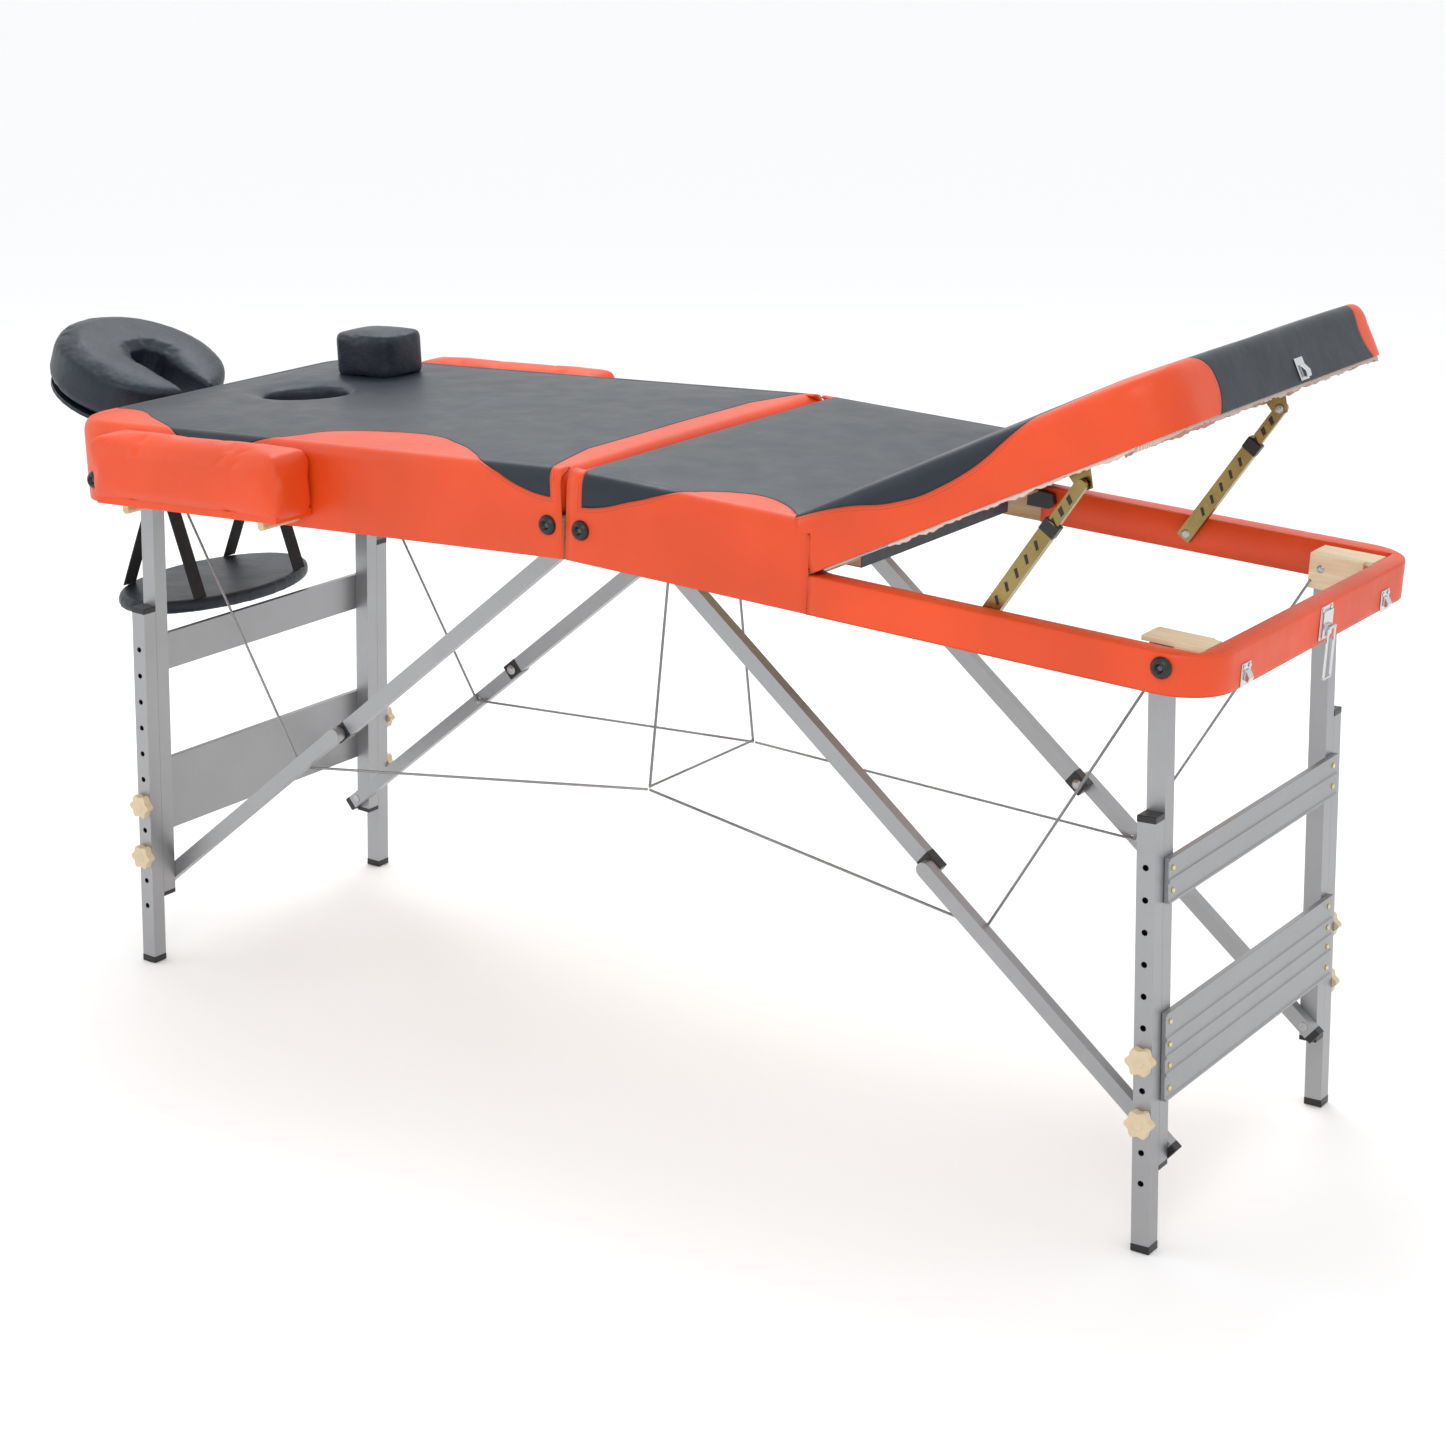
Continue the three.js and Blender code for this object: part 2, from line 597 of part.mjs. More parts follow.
function buildLatch(half) {
  const face = HALF_LENGTH + GAP;
  let lever = block(face + 1, face + 5, -4, 24, 8, 40);
  lever = lever.add(block(face, face + 8, 4, 16, 16, 24));
  place(half, 'latch_lever', lever, FINISH.steel);
  const y0 = 0;
  const y1 = 20;
  const x = face + 10.5;
  const corners = [[y0, 20], [y1, 20], [y1, -43], [y0, -43], [y0, 20]];
  const loop = wire(corners.map(([y, z]) => new THREE.Vector3(x, y, z)), 1.6);
  place(half, 'latch_loop', loop.add(rodAlongY(x, 20, 1.6, y0 - 1, y1 + 1, 8)), FINISH.steel);
}

// ---- steel cables under the table ---------------------------------------
function buildCables() {
  const height = CABLE_KNOT.z;
  for (const end of ends) {
    const s = end.side;
    for (const { name, hand } of flanks) {
      // From the table's corner to the eye on the brace, and on to the knot under the middle.
      const points = [
        new THREE.Vector3(s * CABLE_CORNER.x, hand * CABLE_CORNER.y, CABLE_CORNER.z),
        new THREE.Vector3(s * CABLE_EYE.x, hand * CABLE_EYE.y, CABLE_EYE.z),
        new THREE.Vector3(s * 2, hand * CABLE_KNOT.y, height),
      ];
      place(table, `${end.name}_cable_${name}`, wire(points, CABLE_RADIUS), FINISH.steel);
    }
  }
  const lift = 3.4;
  const route = [
    new THREE.Vector3(0, -CABLE_HINGE.y, CABLE_HINGE.z),
    new THREE.Vector3(0, -CABLE_KNOT.y + lift, height + lift),
    new THREE.Vector3(0, CABLE_KNOT.y - lift, height + lift),
    new THREE.Vector3(0, CABLE_HINGE.y, CABLE_HINGE.z),
  ];
  place(table, 'centre_cable', wire(route, CABLE_RADIUS), FINISH.steel);
}

// ---- put the table together ---------------------------------------------
for (const end of ends) {
  const half = group(table, 0, 0, CREST_HEIGHT, end.side * HALF_SLOPE);
  place(half, `${end.name}_frame`, railFrame(end), FINISH.wood);
  buildLegs(end, half);
  buildUpperBraces(end, half);
  if (end.name === 'head') {
    buildHeadTop(half);
    buildHeadrest(half);
    for (const { name, hand } of flanks) buildArmrest(half, name, hand);
  } else {
    buildMiddleTop(half);
    buildBackrest(half);
    buildStruts(half);
    buildLatch(half);
  }
}
const pin = rodAlongY(0, CREST_HEIGHT - HINGE_DROP, HINGE_PIN_RADIUS, -290, 290, 20);
place(table, 'hinge_pin', pin, FINISH.steel);
buildShelf();
buildCables();

// The origin sits on the floor under the middle of the whole table.
table.updateMatrixWorld(true);
const bounds = new THREE.Box3().setFromObject(table, true);
for (const child of table.children) {
  child.position.x -= (bounds.min.x + bounds.max.x) / 2;
}

export default table;
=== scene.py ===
# Portable massage table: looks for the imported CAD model. Metres, same frame as the CAD.
import math

import bmesh
import bpy
import numpy as np
from mathutils import Matrix, Vector


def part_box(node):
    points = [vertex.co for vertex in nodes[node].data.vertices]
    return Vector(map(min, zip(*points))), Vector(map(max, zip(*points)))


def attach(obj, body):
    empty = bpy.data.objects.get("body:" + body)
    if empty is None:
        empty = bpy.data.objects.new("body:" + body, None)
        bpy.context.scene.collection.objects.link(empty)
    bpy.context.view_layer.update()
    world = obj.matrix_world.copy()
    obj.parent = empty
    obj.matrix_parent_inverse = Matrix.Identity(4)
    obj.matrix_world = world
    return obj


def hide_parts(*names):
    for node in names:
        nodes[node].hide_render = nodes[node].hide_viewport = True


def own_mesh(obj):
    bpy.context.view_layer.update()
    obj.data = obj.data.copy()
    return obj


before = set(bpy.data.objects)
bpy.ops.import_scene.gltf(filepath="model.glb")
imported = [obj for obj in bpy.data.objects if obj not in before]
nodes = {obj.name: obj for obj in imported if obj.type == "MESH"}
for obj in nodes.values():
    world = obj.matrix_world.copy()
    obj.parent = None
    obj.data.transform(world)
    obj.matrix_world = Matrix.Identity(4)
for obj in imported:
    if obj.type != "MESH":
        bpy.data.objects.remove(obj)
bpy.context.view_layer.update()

# ---- the table's own dimensions (millimetres, as in the CAD) ---------------
CREST = 755.2
SLOPE = math.radians(2.45)
SPLAY = math.radians(1.9)
HALF_LENGTH = 900.0
HALF_WIDTH = 310.0
RAIL_INNER = 283.0
CORNER = {-1: 77.0, 1: 65.0}
PAD_TOP = 116.0
LEG_U, LEG_W = 806.0, 29.0
BRACE_U, BRACE_W = 24.5, 32.0
BRACE_KNEE = 597.0
BACK_U, BACK_W = 368.0, 50.0
BACK_LENGTH = 531.0
BACK_ANGLE = math.radians(28.5)
STRUT_U, STRUT_W = 590.0, 25.0
STRUT_TOP = (706.0, 213.0)
HEADREST_U, HEADREST_W = 950.0, 26.0
HEADREST_TILT = math.radians(23.45)
MM = 0.001
PAD_UNDER_BACK = 44.0
BRACE_BOTTOM = 128.0
KNOB_TOP_HOLE, HOLE_PITCH = 493.0, 40.2
KNOB_HOLES = (6, 8)
CABLE_EYE = (568.0, 203.0, 341.0)
CAP_U, CAP_W = 841.4, 31.6
CENTRE_CAP_U, CENTRE_CAP_W = 24.5, 42.7
BOARD_UNDERSIDE = 18.8
ROPE_SLEEVE = 0.0006

pin_low, pin_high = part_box("hinge_pin")
SHIFT = (pin_low[0] + pin_high[0]) / 2 * 1000


def turn(angle):
    return Matrix.Rotation(angle, 4, "Y")


def move(x, y, z):
    return Matrix.Translation((x, y, z))


def half_frame(side):
    return move(SHIFT, 0, CREST) @ turn(side * SLOPE)


HALF = {side: half_frame(side) for side in (-1, 1)}
BACK = HALF[1] @ move(BACK_U, 0, BACK_W) @ turn(-BACK_ANGLE)
LEGS = {s: HALF[s] @ move(s * LEG_U, 0, LEG_W) @ turn(-s * (SPLAY + SLOPE)) for s in (-1, 1)}
HEADREST = HALF[-1] @ move(-HEADREST_U, 0, HEADREST_W) @ turn(HEADREST_TILT)
strut_rise = math.atan2(STRUT_TOP[1] - STRUT_W, STRUT_TOP[0] - STRUT_U)
STRUT = HALF[1] @ move(STRUT_U, 0, STRUT_W) @ turn(-strut_rise)
leg_height = CREST - LEG_U * math.sin(SLOPE) + LEG_W * math.cos(SLOPE)


def along_leg(height):
    return (height - leg_height) / math.cos(SPLAY)


foot_reach = -along_leg(BRACE_BOTTOM)
lean = SPLAY + SLOPE
knee_foot = (LEG_U + foot_reach * math.sin(lean), LEG_W - foot_reach * math.cos(lean))
brace_drop = math.atan2(BRACE_W - knee_foot[1], knee_foot[0] - BRACE_U)
UPPER_BRACE = {s: HALF[s] @ move(s * BRACE_U, 0, BRACE_W) @ turn(s * brace_drop) for s in (-1, 1)}
LOWER_BRACE = {s: LEGS[s] @ move(0, 0, -foot_reach) @ turn(s * (brace_drop + lean)) for s in (-1, 1)}
END_NAME = {-1: "head", 1: "foot"}
HANDS = (("near", -1), ("far", 1))


# ---- materials -------------------------------------------------------------
class Shader:
    """Small helper that builds a node tree from left to right."""

    def __init__(self, name):
        self.material = bpy.data.materials.new(name)
        self.material.use_nodes = True
        self.tree = self.material.node_tree
        self.bsdf = self.tree.nodes["Principled BSDF"]

    def node(self, kind, **values):
        made = self.tree.nodes.new(kind)
        for key, value in values.items():
            setattr(made, key, value)
        return made

    def link(self, source, target):
        self.tree.links.new(source, target)
        return source

    def feed(self, socket, value):
        if hasattr(value, "is_output"):
            self.link(value, socket)
        else:
            socket.default_value = value

    def math(self, operation, a, b=None, c=None):
        made = self.node("ShaderNodeMath", operation=operation)
        for socket, value in zip(made.inputs, (a, b, c)):
            if value is not None:
                self.feed(socket, value)
        return made.outputs[0]

    def ramp(self, value, low, high, to_low=0.0, to_high=1.0):
        made = self.node("ShaderNodeMapRange")
        self.feed(made.inputs["Value"], value)
        for name, number in (("From Min", low), ("From Max", high), ("To Min", to_low), ("To Max", to_high)):
            made.inputs[name].default_value = number
        return made.outputs[0]

    def mix(self, factor, a, b):
        made = self.node("ShaderNodeMix", data_type="RGBA")
        self.feed(made.inputs["Factor"], factor)
        self.feed(made.inputs[6], a)
        self.feed(made.inputs[7], b)
        return made.outputs[2]

    def noise(self, where, scale, detail=3.0, rough=0.5):
        made = self.node("ShaderNodeTexNoise")
        self.link(where, made.inputs["Vector"])
        made.inputs["Scale"].default_value = scale
        made.inputs["Detail"].default_value = detail
        made.inputs["Roughness"].default_value = rough
        return made.outputs["Fac"]

    def stretched(self, where, x, y, z):
        made = self.node("ShaderNodeMapping")
        self.link(where, made.inputs["Vector"])
        made.inputs["Scale"].default_value = (x, y, z)
        return made.outputs["Vector"]

    def cells(self, where, scale):
        made = self.node("ShaderNodeTexVoronoi", feature="F1")
        self.link(where, made.inputs["Vector"])
        made.inputs["Scale"].default_value = scale
        return made.outputs["Distance"]

    def place(self):
        return self.node("ShaderNodeTexCoord").outputs["Object"]

    def bump(self, height, strength, distance, before=None):
        made = self.node("ShaderNodeBump")
        self.link(height, made.inputs["Height"])
        made.inputs["Strength"].default_value = strength
        made.inputs["Distance"].default_value = distance
        if before is not None:
            self.link(before, made.inputs["Normal"])
        return made.outputs["Normal"]


# BLACK is the vinyl's own black with a slight blue tint; the blue tint is painted reflection of the bluish
# sky sheen on the black tops.
BLACK = (0.009, 0.012, 0.019, 1)
ORANGE = (0.70, 0.062, 0.005, 1)
STITCH_PITCH = 0.0042


def vinyl(name, colour, other=None, wave=None, length=1.0, extra=None, far_cap=None, wrinkle=1.0):
    """Grained synthetic leather. With other and wave, the panels meet along a sewn wavy seam."""
    s = Shader(name)
    where = s.place()
    grain_height = s.cells(where, 620.0)
    fold = s.noise(where, 22.0, 4.0, 0.55)
    broad = s.noise(where, 5.0, 2.0, 0.5)
    fine = s.noise(where, 900.0, 2.0, 0.6)
    tint = s.ramp(broad, 0.3, 0.7, 0.88, 1.10)
    base = colour
    normal = s.bump(fold, 0.22 * wrinkle, 0.006)
    if wave is not None:
        spot = s.node("ShaderNodeAttribute", attribute_name="loc")
        parts = s.node("ShaderNodeSeparateXYZ")
        s.link(spot.outputs["Vector"], parts.inputs[0])
        u, y, w = parts.outputs
        inside = s.math("MAXIMUM", s.math("SUBTRACT", HALF_WIDTH * MM, s.math("ABSOLUTE", y)), 0.0)
        climb = s.math("ADD", w, inside)
        curve = s.node("ShaderNodeFloatCurve")
        line = curve.mapping.curves[0]
        for i, (at, height) in enumerate(wave):
            point = (at / (length * 1000), height / 300.0)
            if i < 2:
                line.points[i].location = point
            else:
                line.points.new(*point)
        curve.mapping.update()
        s.link(s.math("DIVIDE", u, length), curve.inputs["Value"])
        border = s.math("MULTIPLY", curve.outputs[0], 0.3)
        if far_cap is not None:
            far = s.math("GREATER_THAN", y, 0.0)
            ceiling = s.math("ADD", far_cap, s.math("SUBTRACT", 1.0, far))
            border = s.math("MINIMUM", border, ceiling)
        over = s.math("SUBTRACT", climb, border)
        if extra is not None:
            over = extra(s, over, u, y, w)
        side = s.ramp(over, -0.0005, 0.0005)
        seam = s.ramp(s.math("ABSOLUTE", over), 0.0, 0.0028)
        normal = s.bump(seam, 0.9, 0.0025, normal)
        base = s.mix(side, other, colour)
        row = s.math("ABSOLUTE", s.math("ADD", over, 0.0055))
        dash = s.math("FRACT", s.math("DIVIDE", s.math("ADD", u, y), STITCH_PITCH))
        thread = s.math("MULTIPLY", s.math("LESS_THAN", row, 0.0006), s.math("LESS_THAN", dash, 0.62))
        base = s.mix(s.math("MULTIPLY", thread, 0.55), base, (0.25, 0.02, 0.008, 1))
    shade = s.node("ShaderNodeHueSaturation")
    s.feed(shade.inputs["Color"], base)
    s.link(tint, shade.inputs["Value"])
    s.link(shade.outputs[0], s.bsdf.inputs["Base Color"])
    normal = s.bump(grain_height, 0.16, 0.0006, normal)
    normal = s.bump(fine, 0.10, 0.0002, normal)
    s.link(normal, s.bsdf.inputs["Normal"])
    s.link(s.ramp(fold, 0.25, 0.75, 0.40, 0.52), s.bsdf.inputs["Roughness"])
    s.bsdf.inputs["Specular IOR Level"].default_value = 0.40
    s.bsdf.inputs["Specular Tint"].default_value = (0.80, 0.90, 1.0, 1)
    s.bsdf.inputs["Coat Weight"].default_value = 0.10
    s.bsdf.inputs["Coat Roughness"].default_value = 0.30
    return s.material


def metal(name, colour, rough, stretch=(60, 60, 900), depth=0.05, edge=0.12, metallic=1.0, mottle=0.06):
    """Drawn or plated metal with fine lengthways lines, uneven sheen and faint scuffs."""
    s = Shader(name)
    where = s.place()
    lines = s.noise(s.stretched(where, *stretch), 3.0, 4.0, 0.6)
    cloud = s.noise(where, 14.0, 3.0, 0.55)
    scuff = s.ramp(s.noise(where, 130.0, 5.0, 0.7), 0.62, 0.75)
    pale = tuple(min(1.0, c * (1 + mottle)) for c in colour[:3]) + (1,)
    dark = tuple(c * (1 - mottle) for c in colour[:3]) + (1,)
    s.link(s.mix(cloud, dark, pale), s.bsdf.inputs["Base Color"])
    s.bsdf.inputs["Metallic"].default_value = metallic
    uneven = s.ramp(lines, 0.3, 0.7, rough - 0.05, rough + 0.07)
    s.link(s.math("ADD", uneven, s.math("MULTIPLY", scuff, edge)), s.bsdf.inputs["Roughness"])
    s.link(s.bump(lines, depth, 0.0004), s.bsdf.inputs["Normal"])
    return s.material


def wood(name, light, dark, ring=(4, 60, 60), rough=0.55):
    """Straight-grained timber."""
    s = Shader(name)
    where = s.place()
    wide = s.noise(s.stretched(where, *ring), 1.6, 6.0, 0.6)
    pores = s.noise(s.stretched(where, ring[0] * 8, ring[1] * 16, ring[2] * 16), 2.0, 3.0, 0.6)
    s.link(s.mix(s.ramp(wide, 0.35, 0.65), light, dark), s.bsdf.inputs["Base Color"])
    s.link(s.bump(pores, 0.25, 0.0005), s.bsdf.inputs["Normal"])
    s.link(s.ramp(wide, 0.3, 0.7, rough - 0.05, rough + 0.08), s.bsdf.inputs["Roughness"])
    return s.material


def plastic(name, colour, rough, texture=0.12):
    """Moulded plastic with a fine spark-eroded texture."""
    s = Shader(name)
    where = s.place()
    speck = s.noise(where, 1400.0, 2.0, 0.6)
    cloud = s.noise(where, 40.0, 3.0, 0.5)
    pale = tuple(min(1.0, c * 1.12) for c in colour[:3]) + (1,)
    dark = tuple(c * 0.88 for c in colour[:3]) + (1,)
    s.link(s.mix(cloud, dark, pale), s.bsdf.inputs["Base Color"])
    s.link(s.bump(speck, texture, 0.0002), s.bsdf.inputs["Normal"])
    s.link(s.ramp(cloud, 0.3, 0.7, rough - 0.04, rough + 0.06), s.bsdf.inputs["Roughness"])
    return s.material


def webbing(name, colour):
    """Woven strap: ribs across and fine yarns along."""
    s = Shader(name)
    where = s.place()
    ribs = s.node("ShaderNodeTexWave", wave_type="BANDS", bands_direction="Z")
    s.link(where, ribs.inputs["Vector"])
    ribs.inputs["Scale"].default_value = 260.0
    yarn = s.node("ShaderNodeTexWave", wave_type="BANDS", bands_direction="Y")
    s.link(where, yarn.inputs["Vector"])
    yarn.inputs["Scale"].default_value = 420.0
    weave = s.math("ADD", ribs.outputs["Fac"], yarn.outputs["Fac"])
    pale = tuple(c * 1.9 for c in colour[:3]) + (1,)
    s.link(s.mix(s.ramp(weave, 0.4, 1.6), colour, pale), s.bsdf.inputs["Base Color"])
    s.link(s.bump(weave, 0.6, 0.0006), s.bsdf.inputs["Normal"])
    s.bsdf.inputs["Roughness"].default_value = 0.82
    return s.material


def twisted_wire(name):
    """Stranded steel rope."""
    s = Shader(name)
    where = s.place()
    strands = s.node("ShaderNodeTexWave", wave_type="BANDS", bands_direction="DIAGONAL")
    s.link(where, strands.inputs["Vector"])
    strands.inputs["Scale"].default_value = 330.0
    strands.inputs["Distortion"].default_value = 0.4
    sheen = s.mix(strands.outputs["Fac"], (0.20, 0.20, 0.21, 1), (0.55, 0.55, 0.56, 1))
    s.link(sheen, s.bsdf.inputs["Base Color"])
    s.bsdf.inputs["Metallic"].default_value = 0.9
    s.bsdf.inputs["Roughness"].default_value = 0.38
    s.link(s.bump(strands.outputs["Fac"], 0.7, 0.0006), s.bsdf.inputs["Normal"])
    return s.material


# Where the black top panel meets the orange side, as height along the cover's outer face.
HEAD_WAVE = ((0, 79), (35, 81), (67, 89), (96, 101), (131, 120), (165, 150), (229, 193), (308, 223),
             (375, 217), (448, 190), (483, 150), (520, 118), (600, 92), (660, 104), (700, 130),
             (763, 166), (832, 204), (900, 214))
MIDDLE_WAVE = ((0, 72), (20, 72), (53, 77), (95, 91), (136, 106), (171, 127), (200, 148), (232, 163),
               (262, 169), (300, 158), (338, 130), (352, 115), (368, 98))
BACK_WAVE = ((0, 78), (58, 66), (105, 54), (132, 46), (160, 41), (189, 38), (218, 39), (249, 42), (281, 48),
             (313, 58), (350, 76), (390, 104), (430, 122), (480, 150), (510, 186), (533, 190))


def head_extra(s, over, u, y, w):
    """The seam also runs across the centre end, and a plain orange hem runs along the bottom."""
    edge = s.math("SUBTRACT", s.math("ABSOLUTE", y), 0.19)
    start = s.math("SUBTRACT", 0.047, s.math("MULTIPLY", s.math("MAXIMUM", edge, 0.0), 0.24))
    across = s.math("SUBTRACT", u, start)
    over = s.math("MINIMUM", over, across)
    return s.math("MINIMUM", over, s.math("SUBTRACT", w, 0.046))


def middle_extra(s, over, u, y, w):
    edge = s.math("SUBTRACT", s.math("ABSOLUTE", y), 0.24)
    start = s.math("ADD", 0.009, s.math("MULTIPLY", s.math("MAXIMUM", edge, 0.0), 0.22))
    return s.math("MINIMUM", over, s.math("SUBTRACT", u, start))


def back_extra(s, over, u, y, w):
    """The end face is black between two orange corners."""
    bow = s.math("POWER", s.math("DIVIDE", s.math("SUBTRACT", w, 0.036), 0.036), 2.0)
    near = s.math("ADD", s.math("ADD", 0.182, s.math("MULTIPLY", bow, 0.020)), y)
    far = s.math("SUBTRACT", s.math("ADD", 0.226, s.math("MULTIPLY", bow, 0.014)), y)
    middle = s.math("MINIMUM", near, far)
    outer = s.math("SUBTRACT", u, 0.44)
    return s.math("MAXIMUM", over, s.math("MINIMUM", middle, outer))


mat = {
    "head_cover": vinyl("vinyl_head_cover", BLACK, ORANGE, HEAD_WAVE, 0.9, head_extra, 0.121),
    "middle_cover": vinyl("vinyl_middle_cover", BLACK, ORANGE, MIDDLE_WAVE, 0.368, middle_extra, 0.115),
    "back_cover": vinyl("vinyl_back_cover", BLACK, ORANGE, BACK_WAVE, 0.533, back_extra),
    "orange": vinyl("vinyl_orange", ORANGE, wrinkle=1.2),
    "black": vinyl("vinyl_black", BLACK, wrinkle=1.3),
    "black_creased": vinyl("vinyl_black_creased", BLACK, wrinkle=2.6),
    "aluminium": metal("aluminium_satin", (0.36, 0.365, 0.375, 1), 0.42, metallic=0.92),
    "aluminium_sheet": metal("aluminium_sheet", (0.34, 0.345, 0.355, 1), 0.42, stretch=(900, 40, 900),
                             metallic=0.9),
    "steel": metal("steel_bright", (0.42, 0.42, 0.43, 1), 0.28, stretch=(200, 200, 200)),
    "chrome": metal("chrome", (0.60, 0.61, 0.62, 1), 0.14, stretch=(90, 90, 90), depth=0.02),
    "zinc": metal("yellow_zinc", (0.30, 0.225, 0.085, 1), 0.28, stretch=(90, 90, 90), mottle=0.45),
    "rivet": metal("rivet_gold", (0.72, 0.58, 0.30, 1), 0.32, stretch=(200, 200, 200), mottle=0.2),
    "dark_steel": metal("steel_dark", (0.10, 0.10, 0.105, 1), 0.30, stretch=(200, 200, 200)),
    "wire": twisted_wire("wire_rope"),
    "wood": wood("beech", (0.66, 0.48, 0.29, 1), (0.50, 0.33, 0.18, 1)),
    "pale_wood": wood("pine_block", (0.78, 0.66, 0.47, 1), (0.66, 0.52, 0.34, 1), ring=(5, 60, 60)),
    "rail_wood": wood("rail_wood", (0.50, 0.34, 0.20, 1), (0.36, 0.23, 0.13, 1)),
    "ply": wood("thin_plywood", (0.60, 0.45, 0.28, 1), (0.47, 0.33, 0.19, 1), ring=(3, 30, 90)),
    "knob": plastic("knob_beige", (0.62, 0.50, 0.33, 1), 0.42),
    "cap": plastic("cap_black", (0.007, 0.007, 0.008, 1), 0.34),
    "webbing": webbing("strap_black", (0.010, 0.010, 0.011, 1)),
    "lining": webbing("lining_cloth", (0.42, 0.35, 0.31, 1)),
}


# ---- mesh helpers ----------------------------------------------------------
def build(name, vertices, faces, material, matrix, body, slot=None, smooth=True, loc=False):
    """Makes a piece from millimetre coordinates in a local frame, and lets it ride on a body."""
    mesh = bpy.data.meshes.new(name)
    points = [matrix @ Vector(v) * MM for v in vertices]
    mesh.from_pydata([tuple(p) for p in points], [], [list(f) for f in faces])
    made = bpy.data.objects.new(name, mesh)
    bpy.context.scene.collection.objects.link(made)
    repair = bmesh.new()
    repair.from_mesh(mesh)
    bmesh.ops.recalc_face_normals(repair, faces=repair.faces)
    repair.to_mesh(mesh)
    repair.free()
    mesh.materials.append(material)
    for face in mesh.polygons:
        face.use_smooth = smooth
    if loc:
        write_loc(made, matrix, loc)
    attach(made, body)
    return made


def solid(name, parts, look, matrix, body, slot, width=0.0, angle=35):
    """A flat-shaded hard piece, with rounded edges where a width is given."""
    made = build(name, *parts, mat[look], matrix, body, slot, smooth=False)
    if width:
        bevel(made, width, 2, angle)
    return made


def turned(name, profile, centre, steps, look, matrix, body, slot):
    """A smooth piece turned about the Y axis."""
    return build(name, *turned_parts(profile, "Y", centre, steps), mat[look], matrix, body, slot)


def write_loc(made, matrix, side):
    """Stores each point's place in the local frame, outwards, across and up, for the seams."""
    inverse = matrix.inverted()
    values = []
    for vertex in made.data.vertices:
        local = inverse @ (vertex.co * 1000)
        values.extend((side * local.x * MM, local.y * MM, local.z * MM))
    layer = made.data.attributes.new("loc", "FLOAT_VECTOR", "POINT")
    layer.data.foreach_set("vector", values)


def bevel(made, width, segments=2, angle=35):
    rounding = made.modifiers.new("edges", "BEVEL")
    rounding.width = width * MM
    rounding.segments = segments
    rounding.limit_method = "ANGLE"
    rounding.angle_limit = math.radians(angle)
    rounding.harden_normals = False
    return made


def box_parts(x0, x1, y0, y1, z0, z1):
    xs, ys, zs = sorted((x0, x1)), sorted((y0, y1)), sorted((z0, z1))
    points = [(x, y, z) for x in xs for y in ys for z in zs]
    faces = [(0, 1, 3, 2), (4, 6, 7, 5), (0, 4, 5, 1), (2, 3, 7, 6), (0, 2, 6, 4), (1, 5, 7, 3)]
    return points, faces


def ring_faces(rows, count):
    """Faces between rows of count points each, with a cap on the first and the last row."""
    faces = []
    for row in range(rows - 1):
        for i in range(count):
            j = (i + 1) % count
            faces.append((row * count + i, row * count + j, (row + 1) * count + j, (row + 1) * count + i))
    faces.append(tuple(range(count)))
    faces.append(tuple(range((rows - 1) * count, rows * count)))
    return faces


def turned_parts(profile, axis, centre, steps=28):
    """A turned solid: profile is (distance along the axis, radius) from end to end."""
    points = []
    for along, radius in profile:
        for i in range(steps):
            angle = 2 * math.pi * i / steps
            a, b = radius * math.cos(angle), radius * math.sin(angle)
            spot = {"X": (along, a, b), "Y": (a, along, b), "Z": (a, b, along)}[axis]
            points.append(tuple(p + c for p, c in zip(spot, centre)))
    return points, ring_faces(len(profile), steps)


def prism_parts(outline, y0, y1):
    """An outline in X and Z carried along Y."""
    count = len(outline)
    points = [(x, y0, z) for x, z in outline] + [(x, y1, z) for x, z in outline]
    faces = [(i, (i + 1) % count, count + (i + 1) % count, count + i) for i in range(count)]
    faces += [tuple(range(count)), tuple(range(count, 2 * count))]
    return points, faces


def join_parts(parts):
    points, faces = [], []
    for more_points, more_faces in parts:
        start = len(points)
        points += more_points
        faces += [tuple(i + start for i in face) for face in more_faces]
    return points, faces


def outline_path(side, start, end, width, corner, step=12):
    """Points and outward directions round three sides of a half, from near to far."""
    found = []
    straight = int((end - corner - start) / step)
    for i in range(straight):
        found.append((start + (end - corner - start) * i / straight, -width, 0.0, -1.0))
    for i in range(13):
        a = -math.pi / 2 + math.pi / 2 * i / 12
        round_u = end - corner + corner * math.cos(a)
        round_y = -width + corner + corner * math.sin(a)
        found.append((round_u, round_y, math.cos(a), math.sin(a)))
    across = int(2 * (width - corner) / step)
    for i in range(1, across):
        found.append((end, -width + corner + 2 * (width - corner) * i / across, 1.0, 0.0))
    for i in range(13):
        a = math.pi / 2 * i / 12
        round_u = end - corner + corner * math.cos(a)
        round_y = width - corner + corner * math.sin(a)
        found.append((round_u, round_y, math.cos(a), math.sin(a)))
    for i in range(1, straight + 1):
        found.append((end - corner + (start - end + corner) * i / straight, width, 0.0, 1.0))
    return [(side * u, y, side * a, b) for u, y, a, b in found]


def ripple(a, b, c):
    return math.sin(a * 0.031 + b * 0.017) * math.sin(a * 0.053 - c * 0.041 + 1.3)


def sweep_parts(path, profile, shape=None):
    """Carries a closed profile of (outwards offset, height) along a path; open ends are capped."""
    points = []
    for i, (x, y, nx, ny) in enumerate(path):
        for offset, height in profile:
            extra = shape(i, x, y, offset, height) if shape else 0.0
            points.append((x + nx * (offset + extra), y + ny * (offset + extra), height))
    return points, ring_faces(len(path), len(profile))


